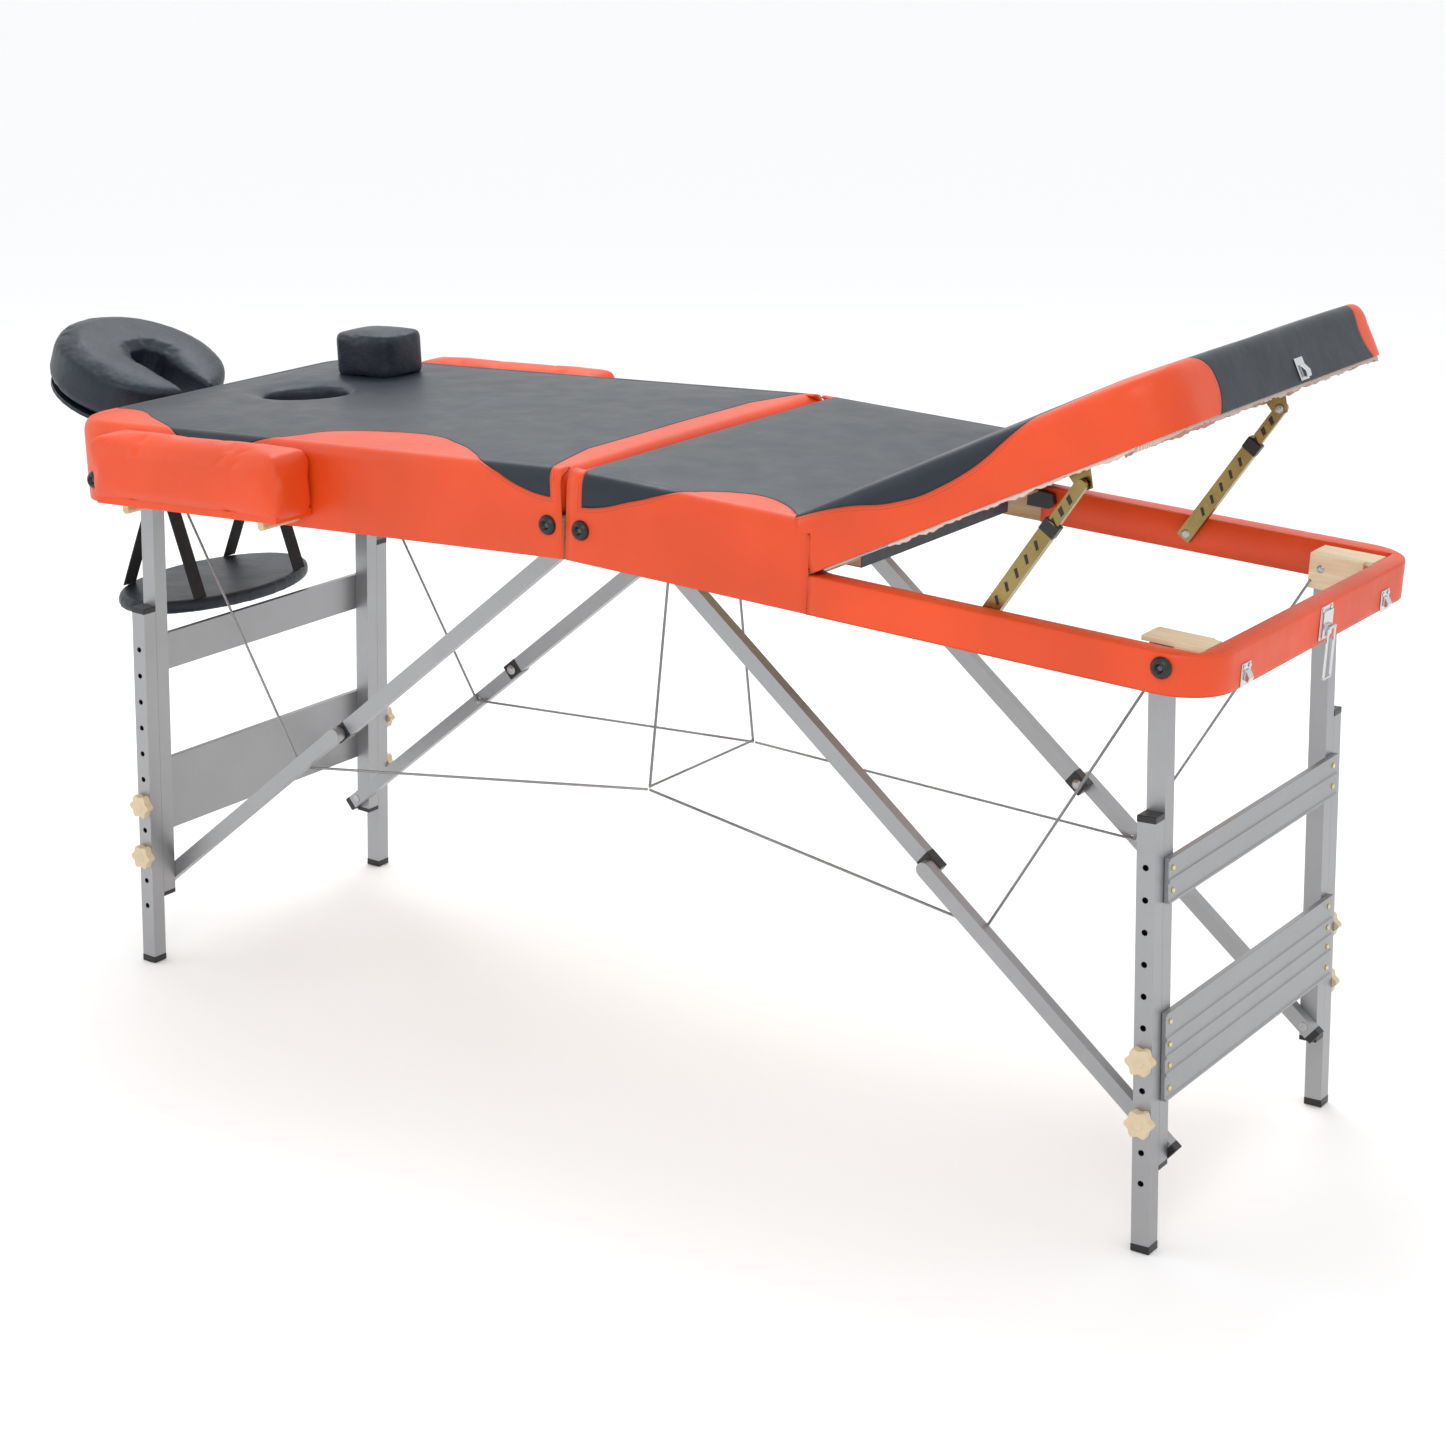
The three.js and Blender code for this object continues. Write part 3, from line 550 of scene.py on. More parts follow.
def skin_profile(low, top, outer=1.3, hem=16.0):
    """Section of a vinyl side: hem under the edge, face, and shoulder running into the pad's top."""
    inner = 0.25
    return [
        (-hem, low - 0.6), (outer - 2.0, low - 0.6), (outer - 0.5, low - 0.4), (outer, low + 1.2),
        (outer, low + (top - low) * 0.3), (outer, low + (top - low) * 0.6), (outer, top - 21),
        (outer - 0.5, top - 15), (outer - 2.0, top - 9.3), (outer - 4.7, top - 4.6), (outer - 8.6, top - 1.0),
        (outer - 13.5, top + 0.7), (outer - 19, top + 1.0), (outer - 24, top - 0.8), (outer - 20, top - 3.0),
        (-3.0, top - 12), (inner, top - 22), (inner, low + 1.2), (inner, low - 0.15), (-hem, low - 0.15),
    ]


# ---- soft pads -------------------------------------------------------------
def from_node(name, node, voxel, smooth_steps, shrink=0.0):
    """A soft copy of a CAD cushion, remeshed evenly, ready to be shaped."""
    source = nodes[node]
    made = bpy.data.objects.new(name, source.data.copy())
    bpy.context.scene.collection.objects.link(made)
    made.data.materials.clear()
    if shrink:
        low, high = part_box(node)
        for vertex in made.data.vertices:
            for k in range(3):
                centre, size = (low[k] + high[k]) / 2, high[k] - low[k]
                vertex.co[k] = centre + (vertex.co[k] - centre) * (1 - 2 * shrink / size)
    bpy.context.view_layer.objects.active = made
    made.select_set(True)
    remesh = made.modifiers.new("remesh", "REMESH")
    remesh.mode = "VOXEL"
    remesh.voxel_size = voxel
    relax = made.modifiers.new("relax", "SMOOTH")
    relax.factor = 0.5
    relax.iterations = smooth_steps
    apply_all(made)
    return made


def apply_all(made):
    depsgraph = bpy.context.evaluated_depsgraph_get()
    final = bpy.data.meshes.new_from_object(made.evaluated_get(depsgraph), depsgraph=depsgraph)
    made.modifiers.clear()
    made.data = final


def read_points(mesh):
    co = np.empty(len(mesh.vertices) * 3)
    mesh.vertices.foreach_get("co", co)
    return co.reshape(-1, 3)


def local_points(made, matrix):
    inverse = np.array(matrix.inverted())
    co = read_points(made.data) * 1000
    return co @ inverse[:3, :3].T + inverse[:3, 3]


def set_points(made, matrix, points):
    forward = np.array(matrix)
    co = (points @ forward[:3, :3].T + forward[:3, 3]) * MM
    made.data.vertices.foreach_set("co", co.ravel())
    made.data.update()


def inflate(made, pressure, cap, frames=20, stiffness=15.0):
    """Blows a cushion up from inside with cloth, and keeps every point within cap of its start."""
    start = read_points(made.data)
    cloth = made.modifiers.new("cloth", "CLOTH")
    cloth.settings.quality = 6
    cloth.settings.mass = 0.3
    cloth.settings.tension_stiffness = stiffness
    cloth.settings.compression_stiffness = stiffness
    cloth.settings.shear_stiffness = 5.0
    cloth.settings.bending_stiffness = 0.5
    cloth.settings.use_pressure = True
    cloth.settings.uniform_pressure_force = pressure
    cloth.settings.effector_weights.gravity = 0.0
    cloth.collision_settings.use_collision = False
    cloth.point_cache.frame_start = 1
    cloth.point_cache.frame_end = frames
    scene = bpy.context.scene
    for step in range(1, frames + 1):
        scene.frame_set(step)
    depsgraph = bpy.context.evaluated_depsgraph_get()
    blown = made.evaluated_get(depsgraph).to_mesh()
    end = read_points(blown)
    made.evaluated_get(depsgraph).to_mesh_clear()
    made.modifiers.clear()
    change = end - start
    length = np.linalg.norm(change, axis=1, keepdims=True)
    change *= np.minimum(1.0, cap / np.maximum(length, 1e-9))
    made.data.vertices.foreach_set("co", (start + change).ravel())
    made.data.update()
    scene.frame_set(1)


def finish_pad(made, material, body, node, matrix=None, side=1, levels=1):
    made.data.materials.clear()
    made.data.materials.append(material)
    for face in made.data.polygons:
        face.material_index = 0
        face.use_smooth = True
    if levels:
        finer = made.modifiers.new("finer", "SUBSURF")
        finer.levels = levels
        finer.render_levels = levels
    if matrix is not None:
        write_loc(made, matrix, side)
    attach(made, body)
    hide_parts(node)
    return made


def crowned(points, lengthways, width, rise, edge, top):
    """Lifts a pad's top into a low crown that falls away towards the edges."""
    u, y, w = points[:, 0], points[:, 1], points[:, 2]
    lo, hi = lengthways
    from_end = np.minimum(u - lo, hi - u).clip(0)
    from_side = (width - np.abs(y)).clip(0)
    near = np.minimum(from_end, from_side)
    weight = 1 - np.exp(-near / edge)
    upper = ((w - 60) / (top - 60)).clip(0, 1)
    wave = 0.8 * np.sin(u * 0.021 + 0.7 * np.sin(y * 0.013)) * np.sin(y * 0.019 + 1.1)
    points[:, 2] = w + upper * (rise * weight - 1.5 * (1 - weight) + wave * weight)
    return points


# Head pad with its face hole.
pad = from_node("head_pad_cushion", "head_pad", 0.006, 4)
points = local_points(pad, HALF[-1])
points[:, 0] *= -1
points = crowned(points, (0, 900), 310, 6.0, 60.0, PAD_TOP)
du, dy = points[:, 0] - 710, points[:, 1]
ring = np.sqrt((du / 65) ** 2 + (dy / 59) ** 2)
dip = np.exp(-((ring - 1.0) / 0.30) ** 2) * (points[:, 2] > 90)
points[:, 2] -= 5.0 * dip
points[:, 0] *= -1
set_points(pad, HALF[-1], points)
finish_pad(pad, mat["head_cover"], "head_half", "head_pad", HALF[-1], -1)

pad = from_node("middle_pad_cushion", "middle_pad", 0.006, 4)
points = crowned(local_points(pad, HALF[1]), (1, 368), 310, 8.0, 55.0, PAD_TOP)
set_points(pad, HALF[1], points)
finish_pad(pad, mat["middle_cover"], "foot_half", "middle_pad", HALF[1], 1)

pad = from_node("backrest_pad_cushion", "backrest_pad", 0.006, 4)
points = local_points(pad, BACK)
points[:, 2] += PAD_UNDER_BACK
points = crowned(points, (0, 532), 310, 7.0, 60.0, PAD_TOP)
points[:, 2] -= PAD_UNDER_BACK
set_points(pad, BACK, points)
finish_pad(pad, mat["back_cover"], "backrest", "backrest_pad", BACK, 1)

# Smaller cushions, blown up as cloth except the arm shelf's. The armrest covers are pulled down over their
# boards.
ARM_LOW, ARM_HEM, ARM_FOLD = 32.0, 18.0, 60.0
pad = from_node("face_plug_cushion", "face_hole_plug", 0.004, 1, shrink=0.001)
points = local_points(pad, HALF[-1])
points[:, 2] = PAD_TOP + (points[:, 2] - PAD_TOP) * 1.07
set_points(pad, HALF[-1], points)
inflate(pad, 5.0, 0.005)
finish_pad(pad, mat["black_creased"], "face_plug", "face_hole_plug")

pad = from_node("headrest_ring_cushion", "headrest_cushion", 0.005, 3, shrink=0.006)
inflate(pad, 5.0, 0.010)
finish_pad(pad, mat["black_creased"], "headrest", "headrest_cushion")

for name, hand in HANDS:
    pad = from_node(f"armrest_cushion_{name}", f"armrest_pad_{name}", 0.005, 3, shrink=0.0025)
    points = local_points(pad, HALF[-1])
    low = points[:, 2] < ARM_FOLD
    points[low, 2] = ARM_HEM + (points[low, 2] - ARM_LOW) * (ARM_FOLD - ARM_HEM) / (ARM_FOLD - ARM_LOW)
    set_points(pad, HALF[-1], points)
    inflate(pad, 4.0, 0.005)
    finish_pad(pad, mat["orange"], f"armrest_{name}", f"armrest_pad_{name}")

pad = from_node("arm_shelf_cushion", "arm_shelf", 0.004, 3)
finish_pad(pad, mat["black"], "arm_sling", "arm_shelf")


# ---- vinyl sides and rail wrap ---------------------------------------------
def side_shape(i, x, y, offset, height):
    if offset < 0.9 or height < 3:
        return 0.0
    return 0.4 * ripple(x + 2.0 * y, height * 4, height * 7)


path = outline_path(-1, 1.0, HALF_LENGTH, HALF_WIDTH, CORNER[-1])
points, faces = sweep_parts(path, skin_profile(0.0, PAD_TOP), side_shape)
build("head_side_cover", points, faces, mat["head_cover"], HALF[-1], "head_half", "orange_vinyl", loc=-1)
for name, hand in HANDS:
    straight = [(1.0 + 366.0 * i / 30, hand * HALF_WIDTH, 0.0, hand * 1.0) for i in range(31)]
    points, faces = sweep_parts(straight, skin_profile(0.0, PAD_TOP), side_shape)
    build(f"middle_side_cover_{name}", points, faces, mat["middle_cover"], HALF[1], "foot_half",
          "orange_vinyl", loc=1)
path = outline_path(1, 4.0, BACK_LENGTH + 0.6, HALF_WIDTH - 0.6, CORNER[1])
points, faces = sweep_parts(path, skin_profile(0.3, PAD_TOP - PAD_UNDER_BACK, hem=22.0), side_shape)
build("backrest_side_cover", points, faces, mat["back_cover"], BACK, "backrest", "orange_vinyl", loc=1)


def rail_wrap():
    """Vinyl pulled round the open rails of the foot half."""
    path = outline_path(1, 367.0, HALF_LENGTH, HALF_WIDTH, CORNER[1])
    centre_u, centre_y = HALF_LENGTH - CORNER[1], HALF_WIDTH - CORNER[1]
    inner_u, inner_y = 873.8, RAIL_INNER - 0.2
    points = []
    for x, y, nx, ny in path:
        if abs(nx) < 1e-6:
            inner = (x, math.copysign(inner_y, y))
        elif abs(ny) < 1e-6:
            inner = (inner_u, y)
        else:
            reach_u = (inner_u - centre_u) / abs(nx)
            reach_y = (inner_y - centre_y) / abs(ny)
            reach = min(reach_u, reach_y)
            inner = (centre_u + nx * reach, math.copysign(centre_y, y) + ny * reach)
        swell = 0.4 * ripple(2 * x, y, 0)
        outer = [(1.2, -0.6), (1.3 + swell, 4), (1.3 + swell, 24), (1.3 - swell, 44), (0.6, 47.9),
                 (-1.6, 48.8)]
        for offset, height in outer:
            points.append((x + nx * offset, y + ny * offset, height))
        top = Vector((x + nx * -1.6, y + ny * -1.6))
        corner = Vector(inner)
        inward = [(0.5, 48.9 + 0.2 * swell), (0.93, 48.8), (1.0, 47.6), (1.0, 24.0), (1.0, -0.6)]
        for share, height in inward:
            spot = top.lerp(corner, share)
            points.append((spot.x, spot.y, height))
    faces = ring_faces(len(path), len(outer) + len(inward))
    build("foot_rail_cover", points, faces, mat["orange"], HALF[1], "foot_half", "orange_vinyl")


rail_wrap()


# ---- materials for the CAD pieces that stay --------------------------------
def paint(node, material, width=0.0):
    piece = nodes[node]
    piece.data.materials.clear()
    piece.data.materials.append(material)
    for face in piece.data.polygons:
        face.material_index = 0
        face.use_smooth = False
    if width:
        bevel(piece, width)


def cover_board(name):
    """The plank is wrapped in the armrest's vinyl; its dowels stay bare wood."""
    node = f"armrest_board_{name}"
    paint(node, mat["wood"], 1.0)
    piece = nodes[node]
    piece.data.materials.append(mat["orange"])
    inverse = HALF[-1].inverted()
    for face in piece.data.polygons:
        middle = inverse @ (piece.matrix_world @ face.center * 1000)
        if middle.z > BOARD_UNDERSIDE:
            face.material_index = 1


for side, end in END_NAME.items():
    paint(f"{end}_frame", mat["rail_wood"])
    for name, hand in HANDS:
        for part in ("upper_leg", "lower_leg", "upper_brace", "lower_brace"):
            paint(f"{end}_{part}_{name}", mat["aluminium"], 0.7)
        for number in (1, 2):
            paint(f"{end}_knob_{name}_{number}", mat["knob"], 1.6)
for node in ("head_deck", "middle_deck", "backrest_board"):
    paint(node, mat["ply"])
paint("headrest_plate", mat["black"], 1.0)
for name, hand in HANDS:
    cover_board(name)
    paint(f"strut_outer_{name}", mat["zinc"], 0.4)
    paint(f"strut_slider_{name}", mat["zinc"], 0.4)
    paint(f"shelf_strap_{name}", mat["webbing"])
paint("headrest_fork", mat["aluminium"])
for node in ("hinge_pin", "backrest_hinge_pin"):
    paint(node, mat["steel"])
paint("latch_lever", mat["chrome"], 0.8)
paint("latch_loop", mat["chrome"])


# ---- added hardware --------------------------------------------------------
def bolt_cap(name, side, hand, u, w):
    """Black domed cap with a recessed centre on the side rail."""
    out = hand * (HALF_WIDTH + 1.4)
    dome = [(0, 13.2), (1.2, 13.2), (4.2, 11.6), (6.8, 8.8), (7.4, 6.8), (6.4, 5.4), (3.4, 4.8), (2.6, 0.4)]
    screw = [(2.4, 4.6), (3.2, 4.2), (3.8, 2.6), (3.4, 0.4)]
    for ending, section, steps, look, slot in (
        ("", dome, 28, "cap", "knob_plastic"),
        ("_screw", screw, 16, "dark_steel", "steel"),
    ):
        profile = [(out + hand * a, r) for a, r in section]
        turned(name + ending, profile, (side * u, 0, w), steps, look, HALF[side], END_NAME[side] + "_half",
               slot)


for side, end in END_NAME.items():
    for name, hand in HANDS:
        bolt_cap(f"{end}_bolt_cap_{name}", side, hand, CAP_U, CAP_W)
        bolt_cap(f"{end}_centre_cap_{name}", side, hand, CENTRE_CAP_U, CENTRE_CAP_W)

CROSSBAR_FACE = 12.3


def crossbar_parts(side, low, high, grooves):
    """Extruded bar with grooves along its outer face and a lip at each edge."""
    z0, z1 = along_leg(low), along_leg(high)
    inner, outer = CROSSBAR_FACE, CROSSBAR_FACE + 6.0
    outline = [(inner, z0), (inner + 8, z0), (inner + 8, z0 + 2.5), (outer, z0 + 4.0)]
    for share in grooves:
        z = z0 + (z1 - z0) * share
        outline += [(outer, z - 3.2), (inner + 8, z - 2.0), (inner + 8, z + 2.0), (outer, z + 3.2)]
    outline += [(outer, z1 - 4.0), (inner + 8, z1 - 2.5), (inner + 8, z1), (inner, z1)]
    return prism_parts([(side * x, z) for x, z in outline], -246.0, 246.0)


def rivet_parts(x, y, z, side, size=3.6):
    profile = [(0, size), (0.9, size), (1.9, size * 0.72), (2.4, size * 0.3), (2.4, 0.3)]
    return turned_parts([(x + side * a, r) for a, r in profile], "X", (0, y, z), 14)


for side, end in END_NAME.items():
    for name, low, high, grooves, levels in (
        ("upper", 444.2, 500.3, (0.5,), (0.25, 0.75)),
        ("lower", 193.0, 306.0, (0.3, 0.5, 0.7), (0.12, 0.38, 0.62, 0.88)),
    ):
        bar = solid(f"{end}_crossbar_{name}_ribbed", crossbar_parts(side, low, high, grooves),
                    "aluminium_sheet", LEGS[side], f"{end}_legs", "aluminium", 0.5, 30)
        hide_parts(f"{end}_crossbar_{name}")
        parts = []
        for level in levels:
            z = along_leg(low + (high - low) * level)
            for hand in (-1, 1):
                parts.append(rivet_parts(side * (CROSSBAR_FACE + 6.0), hand * 234.5, z, side))
        build(f"{end}_crossbar_{name}_rivets", *join_parts(parts), mat["rivet"], LEGS[side],
              f"{end}_legs", "zinc_steel")

for side, end in END_NAME.items():
    for name, hand in HANDS:
        # Black caps: top of the lower tube, floor shoe, lower end of the upper tube.
        outer = (hand * 246.2, hand * 270.8)
        lower_tube = f"{end}_leg_extension_{name}"
        cap = box_parts(-12.6, 12.6, *outer, along_leg(548), along_leg(556.5))
        solid(f"{end}_tube_cap_{name}", cap, "cap", LEGS[side], lower_tube, "knob_plastic", 1.2)
        shoe = []
        for x, y in ((-12.6, outer[0]), (12.6, outer[0]), (12.6, outer[1]), (-12.6, outer[1])):
            ground = along_leg(0.0) - side * x * math.tan(SPLAY)
            shoe += [(x, y, ground), (x, y, along_leg(10.0))]
        faces = [(0, 2, 4, 6), (1, 7, 5, 3), (0, 1, 3, 2), (2, 3, 5, 4), (4, 5, 7, 6), (6, 7, 1, 0)]
        solid(f"{end}_foot_shoe_{name}", (shoe, faces), "cap", LEGS[side], lower_tube, "knob_plastic", 0.8)
        cap = box_parts(-12.4, 12.4, hand * 222.5, hand * 246.5, -648.5, -641.5)
        solid(f"{end}_leg_end_{name}", cap, "cap", LEGS[side], f"{end}_legs", "knob_plastic", 1.0)
        # Brace knee sleeve, foot end cap and bolts.
        knee = [(side * (BRACE_KNEE - 16), -11.7), (side * (BRACE_KNEE + 12), -11.7),
                (side * (BRACE_KNEE + 12), 11.7), (side * (BRACE_KNEE - 16), 11.7)]
        solid(f"{end}_knee_cap_{name}", prism_parts(knee, hand * 189.0, hand * 206.0), "cap",
              UPPER_BRACE[side], f"{end}_upper_braces", "knob_plastic", 1.5)
        tail = [(side * 12, -10.8), (side * 22.5, -10.8), (side * 22.5, 10.8), (side * 12, 10.8)]
        solid(f"{end}_brace_end_{name}", prism_parts(tail, hand * 206.1, hand * 222.6), "cap",
              LOWER_BRACE[side], f"{end}_lower_braces", "knob_plastic", 1.5)
        for label, matrix, body, y, spot in (
            ("knee_bolt", UPPER_BRACE[side], f"{end}_upper_braces", 188.9, (side * BRACE_KNEE, 0, 0)),
            ("top_bolt", HALF[side], f"{end}_half", 187.0, (side * BRACE_U, 0, BRACE_W)),
            ("leg_bolt", HALF[side], f"{end}_half", 219.5, (side * LEG_U, 0, LEG_W)),
        ):
            profile = [(hand * (y + 0.3), 7.5), (hand * (y - 0.9), 7.5), (hand * (y - 1.1), 5.6),
                       (hand * (y - 4.0), 5.2), (hand * (y - 4.6), 3.2), (hand * (y - 4.6), 0.3)]
            turned(f"{end}_{label}_{name}", profile, spot, 18, "steel", matrix, body, "steel")
        for number, hole in enumerate(KNOB_HOLES, 1):
            z = along_leg(KNOB_TOP_HOLE - hole * HOLE_PITCH)
            face = hand * 282.0
            profile = [(face - hand * 0.4, 7.4), (face + hand * 0.4, 7.0), (face + hand * 0.55, 5.4),
                       (face + hand * 0.15, 4.6), (face + hand * 0.1, 0.3)]
            turned(f"{end}_knob_boss_{name}_{number}", profile, (0, 0, z), 20, "knob", LEGS[side],
                   f"{end}_knob_{name}_{number}_body", "knob_plastic")

# Pine corner blocks: a cheek beside each foot-end leg and a cap over its top.
for name, hand in HANDS:
    cheek = [(790, 2), (862, 2), (862, 48.4), (790, 48.4)]
    cap = [(790, 42.5), (873, 42.5), (873, 48.9), (790, 48.9)]
    shoulder = [(832, 2), (873, 2), (873, 42.5), (832, 42.5)]
    block = join_parts([
        prism_parts(cheek, hand * 215.5, hand * 221.5),
        prism_parts(cap, hand * 221.6, hand * 262.0),
        prism_parts(shoulder, hand * 250.0, hand * 281.5),
    ])
    solid(f"foot_corner_block_{name}", block, "pale_wood", HALF[1], "foot_half", "bare_wood", 0.8)

# Black cover on the rail below the backrest hinge: black at its ends like the dark pieces there, and along
# the rest of its length painted shade, so the rail reads as shadow under the backrest.
tray = [(338.6, 32.0), (367.2, 32.0), (367.2, 49.0), (366.3, 49.0), (366.3, 32.7), (339.4, 32.7),
        (339.4, 47.0), (338.6, 47.0)]
solid("cross_rail_shade_cover", prism_parts(tray, -186.3, 186.3), "black", HALF[1], "foot_half", "black_vinyl")


# Frayed edge of the cover where it is stapled under the backrest.
def frayed_hem():
    path = outline_path(1, 120.0, BACK_LENGTH + 0.6, HALF_WIDTH - 0.6, CORNER[1], step=5)
    points = []
    for i, (x, y, nx, ny) in enumerate(path):
        slow = 3.4 * abs(math.sin(i * 0.37) * math.sin(i * 0.11 + 0.5))
        drop = 1.8 + slow + 2.2 * abs(math.sin(i * 1.93 + 2.0))
        for offset, height in ((-2.0, 0.0), (-2.6, -drop), (-3.2, -drop + 0.2), (-3.0, 0.0)):
            points.append((x + nx * offset, y + ny * offset, height))
    faces = ring_faces(len(path), 4)
    hem = solid("backrest_frayed_hem", (points, faces), "lining", BACK, "backrest", "black_vinyl")
    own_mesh(hem)


frayed_hem()

# Chrome clips, the draw latch plate, and the catch on the backrest's end face.
def clip(name, y, w):
    face = HALF_LENGTH + 1.6
    sheet = [(face, w - 14), (face + 1.4, w - 14), (face + 1.4, w + 14), (face, w + 14)]
    plate = prism_parts(sheet, y - 12, y + 12)
    bend = [(face + 1.4, w - 6), (face + 7.5, w - 9), (face + 9.0, w - 3), (face + 5.0, w + 4),
            (face + 1.4, w + 6)]
    hook = prism_parts(bend, y - 6, y + 6)
    screw = [(face + 1.4, 3.4), (face + 3.0, 2.8), (face + 3.4, 0.3)]
    heads = [turned_parts(screw, "X", (0, y + shift, w + 9.5), 12) for shift in (-7.5, 7.5)]
    solid(name, join_parts([plate, hook] + heads), "chrome", HALF[1], "foot_half", "chrome", 0.7)


clip("end_clip_near", -215.0, 14.0)
clip("end_clip_far", 196.0, 11.0)
screw = [(902.6, 3.0), (904.0, 2.4), (904.3, 0.3)]
latch = join_parts([
    prism_parts([(901.5, 4), (902.6, 4), (902.6, 46), (901.5, 46)], -7, 27),
    turned_parts(screw, "X", (0, -2.5, 42), 12),
    turned_parts(screw, "X", (0, 22.5, 42), 12),
])
solid("latch_plate", latch, "chrome", HALF[1], "foot_half", "chrome", 0.4)
end_face = BACK_LENGTH + 2.2
plate = [(end_face, 3), (end_face + 1.6, 3), (end_face + 1.6, 31), (end_face, 31)]
hook = [(end_face + 1.6, 7), (end_face + 8, 5), (end_face + 9, 13), (end_face + 4, 22), (end_face + 1.6, 22)]
catch = join_parts([prism_parts(plate, 21, 44), prism_parts(hook, 26, 38)])
solid("backrest_catch", catch, "chrome", BACK, "backrest", "chrome", 0.8)

# Black hinge brackets between the middle section and the backrest.
for name, hand in HANDS:
    outline = [(350, 22), (384, 22), (392, 30), (388, 44), (367, 46), (350, 40)]
    bracket = prism_parts(outline, hand * 271.5, hand * 281.8)
    solid(f"backrest_bracket_{name}", bracket, "cap", HALF[1], "foot_half", "steel", 1.2)

# Ratchet support details: painted shade for the slots in the channel, teeth, pivot bolts and the small black
# stop.
strut_length = math.hypot(STRUT_TOP[0] - STRUT_U, STRUT_TOP[1] - STRUT_W)
for name, hand in HANDS:
    slot_shades = []
    for i in range(5):
        centre = 40 + 22 * i
        tilt = [(centre - 5, -4.2), (centre - 1, -5.4), (centre + 6, 3.2), (centre + 2, 5.2)]
        slot_shades.append(prism_parts(tilt, hand * 270.6, hand * 271.4))
        slot_shades.append(prism_parts(tilt, hand * 282.2, hand * 282.8))
    channel, slider = f"strut_outer_body_{name}", f"strut_slider_body_{name}"
    # Each slot is a thin black plate on the channel's faces: painted shade standing in for the dark opening.
    solid(f"strut_slot_shades_{name}", join_parts(slot_shades), "cap", STRUT, channel, "zinc_steel")
    teeth = []
    for i in range(6):
        centre = strut_length - 112 + 18 * i
        tooth = [(centre - 5, -4), (centre + 1, -4.6), (centre + 6, 4), (centre - 1, 4.4)]
        teeth.append(prism_parts(tooth, hand * 272.7, hand * 280.8))
    solid(f"strut_teeth_{name}", join_parts(teeth), "cap", STRUT, slider, "zinc_steel")
    stop = box_parts(strut_length - 75, strut_length - 57, hand * 270.0, hand * 282.55, -11.2, 11.2)
    solid(f"strut_stop_{name}", stop, "cap", STRUT, channel, "knob_plastic", 1.5)
    # The low bolt head is shallow, to clear the folded lower leg.
    for label, spot, body, y, depth in (
        ("low", 0.0, channel, 270.9, 0.5),
        ("high", strut_length, "backrest", 267.7, 2.4),
    ):
        profile = [(hand * (y + 0.3), 6.5), (hand * (y - 0.7 * depth), 6.2), (hand * (y - depth), 3.6),
                   (hand * (y - depth), 0.3)]
        turned(f"strut_bolt_{label}_{name}", profile, (spot, 0, 0), 16, "steel", STRUT, body, "steel")
    # Bracket under the backrest board that holds the slider's top pivot.
    over, above = STRUT_TOP[0] - BACK_U, STRUT_TOP[1] - BACK_W
    bx = over * math.cos(BACK_ANGLE) + above * math.sin(BACK_ANGLE)
    bz = -over * math.sin(BACK_ANGLE) + above * math.cos(BACK_ANGLE)
    ear = [(bx - 16, -0.4), (bx + 16, -0.4), (bx + 9, bz - 8), (bx - 9, bz - 8)]
    base = [(bx - 26, -1.3), (bx + 26, -1.3), (bx + 26, -0.3), (bx - 26, -0.3)]
    bracket = join_parts([
        prism_parts(ear, hand * 267.9, hand * 269.6),
        prism_parts(base, hand * 262.0, hand * 281.5),
    ])
    solid(f"strut_bracket_{name}", bracket, "zinc", BACK, "backrest", "zinc_steel", 0.4)

# Aluminium quadrant and rivet at each side of the headrest.
for name, hand in HANDS:
    y = hand * 90.0
    arc = [(-60 * math.cos(a), 9 + 12 * math.sin(a)) for a in np.linspace(0, 1.4, 7)]
    outline = [(8, -9), (-10, -9)] + arc + [(8, 9)]
    quadrant = prism_parts(outline, y, y + hand * 2.5)
    solid(f"headrest_quadrant_{name}", quadrant, "aluminium", HEADREST, "headrest", "aluminium", 0.5)
    profile = [(y + hand * 2.4, 9), (y + hand * 5, 8.4), (y + hand * 7.5, 5), (y + hand * 7.5, 0.4)]
    turned(f"headrest_rivet_{name}", profile, (0, 0, 0), 20, "steel", HEADREST, "headrest", "steel")


# ---- steel cables: they lie flat against the underside when the table folds -
def cable_copy(node, body):
    source = nodes[node]
    made = bpy.data.objects.new(node + "_rope", source.data.copy())
    bpy.context.scene.collection.objects.link(made)
    for vertex in made.data.vertices:
        vertex.co += vertex.normal * ROPE_SLEEVE
    made.data.materials.clear()
    made.data.materials.append(mat["wire"])
    for face in made.data.polygons:
        face.material_index = 0
        face.use_smooth = True
    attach(made, body)
    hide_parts(node)
    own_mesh(made)
    return made


for side, end in END_NAME.items():
    for name, hand in HANDS:
        cable_copy(f"{end}_cable_{name}", f"{end}_half")
cable_copy("centre_cable", "centre_hinge")

# Pin heads on the lower braces: one at the cable eye and one at the foot pivot.
for side, end in END_NAME.items():
    for name, hand in HANDS:
        eye_place = Vector((SHIFT + side * CABLE_EYE[0], hand * CABLE_EYE[1], CABLE_EYE[2]))
        at = LOWER_BRACE[side].inverted() @ eye_place
        profile = [(hand * 206.45, 6.5), (hand * 205.8, 6.0), (hand * 205.75, 2.4), (hand * 206.0, 0.4)]
        eye = turned_parts(profile, "Y", (at.x, 0, at.z), 18)
        foot = turned_parts(profile, "Y", (0, 0, 0), 18)
        build(f"{end}_brace_pins_{name}", *join_parts([eye, foot]), mat["steel"], LOWER_BRACE[side],
              f"{end}_lower_braces", "steel")

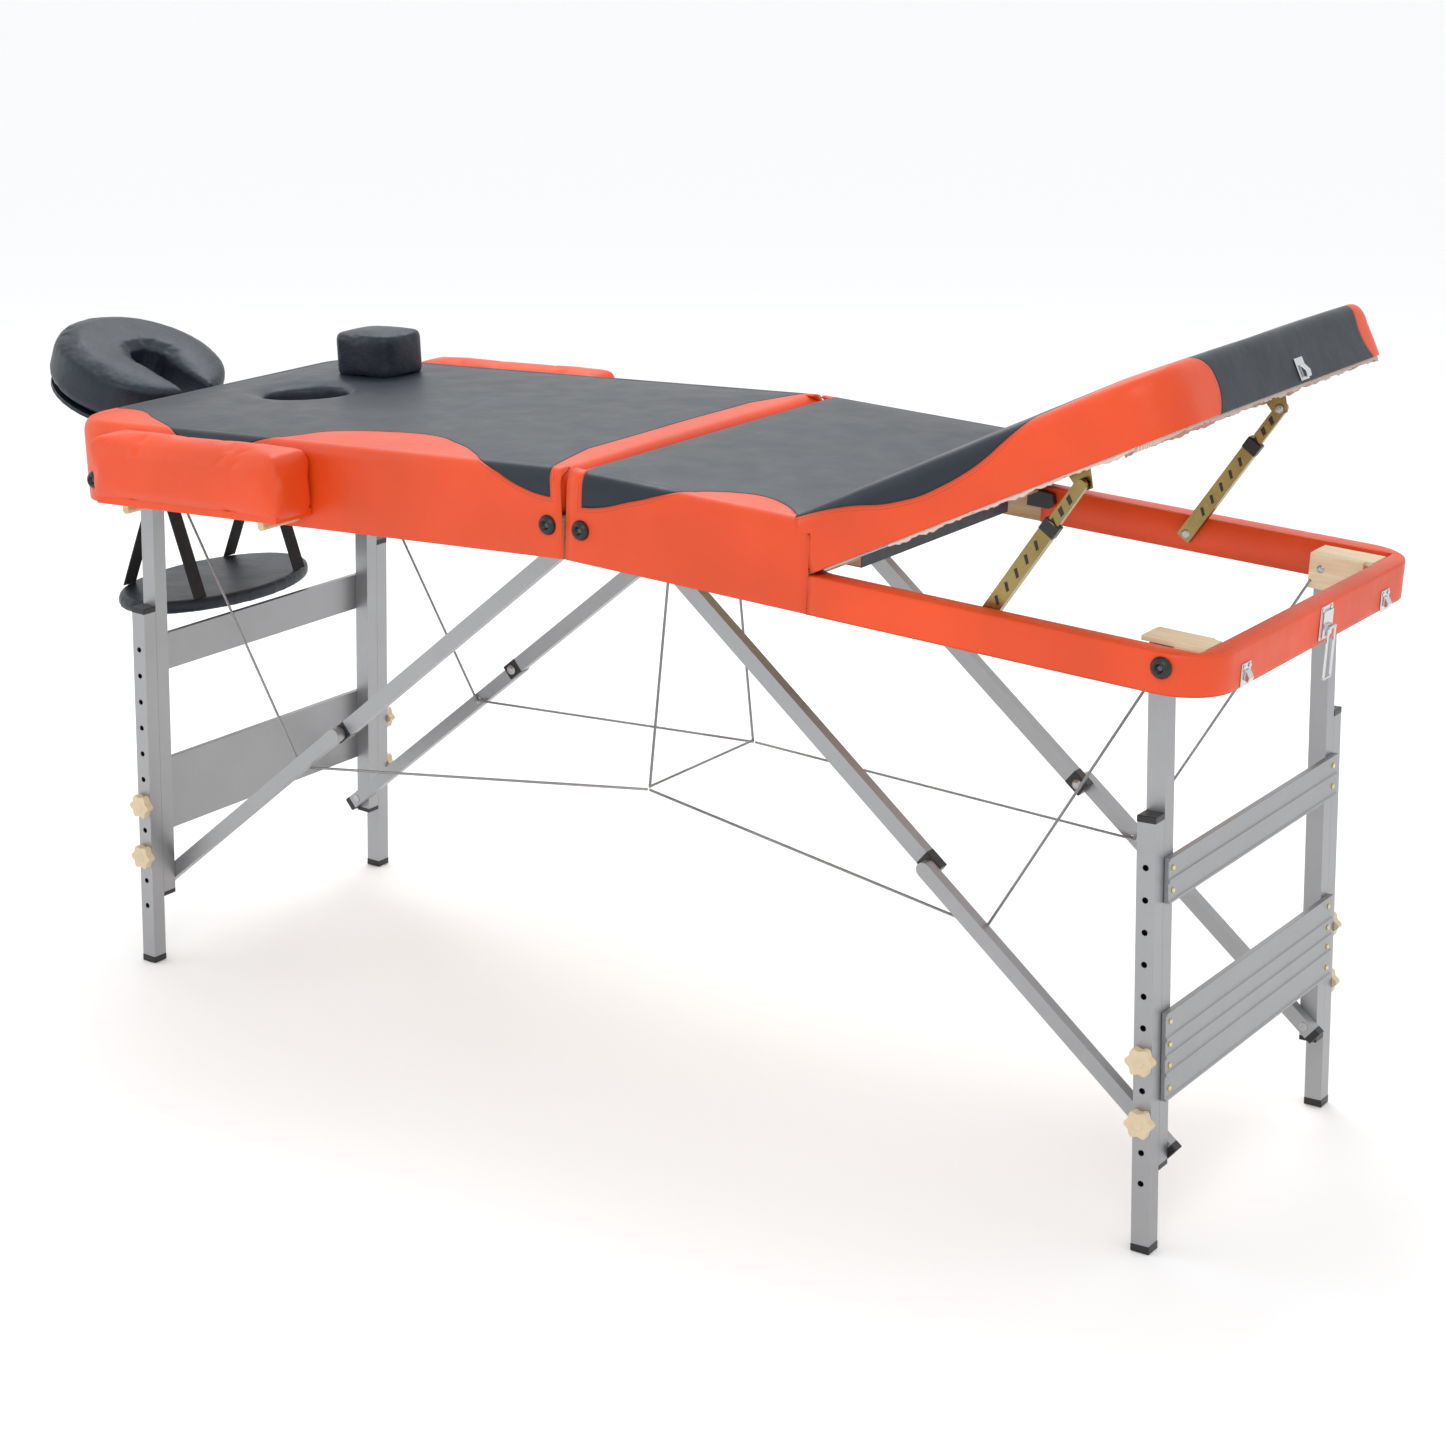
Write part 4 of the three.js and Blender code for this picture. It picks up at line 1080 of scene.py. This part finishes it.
# ---- floor, light and camera -----------------------------------------------
floor_mesh = bpy.data.meshes.new("floor")
FLOOR_REACH, FLOOR_Z = 30, -0.0008
corners = [(x * FLOOR_REACH, y * FLOOR_REACH, FLOOR_Z) for x, y in ((-1, -1), (1, -1), (1, 1), (-1, 1))]
floor_mesh.from_pydata(corners, [], [(0, 1, 2, 3)])
floor = bpy.data.objects.new("floor", floor_mesh)
bpy.context.scene.collection.objects.link(floor)
floor_paint = Shader("floor_pale")
floor_paint.bsdf.inputs["Base Color"].default_value = (0.97, 0.97, 0.97, 1)
floor_paint.bsdf.inputs["Roughness"].default_value = 0.9
floor_paint.bsdf.inputs["Specular IOR Level"].default_value = 0.1
floor_mesh.materials.append(floor_paint.material)

world = bpy.data.worlds.new("studio")
bpy.context.scene.world = world
world.use_nodes = True
world.node_tree.nodes["Background"].inputs["Color"].default_value = (0.985, 0.993, 1.0, 1)
world.node_tree.nodes["Background"].inputs["Strength"].default_value = 1.0


def area_light(name, spot, target, size, power):
    light = bpy.data.lights.new(name, "AREA")
    light.shape = "SQUARE"
    light.size = size
    light.energy = power
    made = bpy.data.objects.new(name, light)
    made.location = spot
    made.rotation_euler = (Vector(target) - Vector(spot)).to_track_quat("-Z", "Y").to_euler()
    bpy.context.scene.collection.objects.link(made)


area_light("key", (2.2, -3.6, 3.6), (0, 0, 0.6), 2.2, 42)
area_light("top", (-1.2, 1.6, 3.9), (0, 0, 0.8), 2.6, 70)
area_light("fill", (-4.2, -2.2, 2.0), (0, 0, 0.6), 2.6, 20)

CAMERA_X, CAMERA_Y, CAMERA_Z = 2238.5, -3243.6, 1682.7
AZIMUTH, ELEVATION, ROLL = math.radians(34.211), math.radians(17.27), math.radians(0.174)
SENSOR_WIDTH, FIELD = 36.0, 2.05398
data = bpy.data.cameras.new("camera")
data.sensor_width = SENSOR_WIDTH
data.lens = FIELD * SENSOR_WIDTH
data.clip_end = 100.0
camera = bpy.data.objects.new("camera", data)
bpy.context.scene.collection.objects.link(camera)
flat = math.cos(ELEVATION)
back = Vector((math.sin(AZIMUTH) * flat, -math.cos(AZIMUTH) * flat, math.sin(ELEVATION)))
right = (-back).cross(Vector((0, 0, 1))).normalized()
up = right.cross(-back).normalized()
right_rolled = math.cos(ROLL) * right + math.sin(ROLL) * up
up_rolled = -math.sin(ROLL) * right + math.cos(ROLL) * up
turned = Matrix((right_rolled, up_rolled, back)).transposed().to_4x4()
camera.matrix_world = Matrix.Translation(((CAMERA_X + SHIFT) * MM, CAMERA_Y * MM, CAMERA_Z * MM)) @ turned
bpy.context.scene.camera = camera
bpy.context.scene.view_settings.view_transform = "Standard"
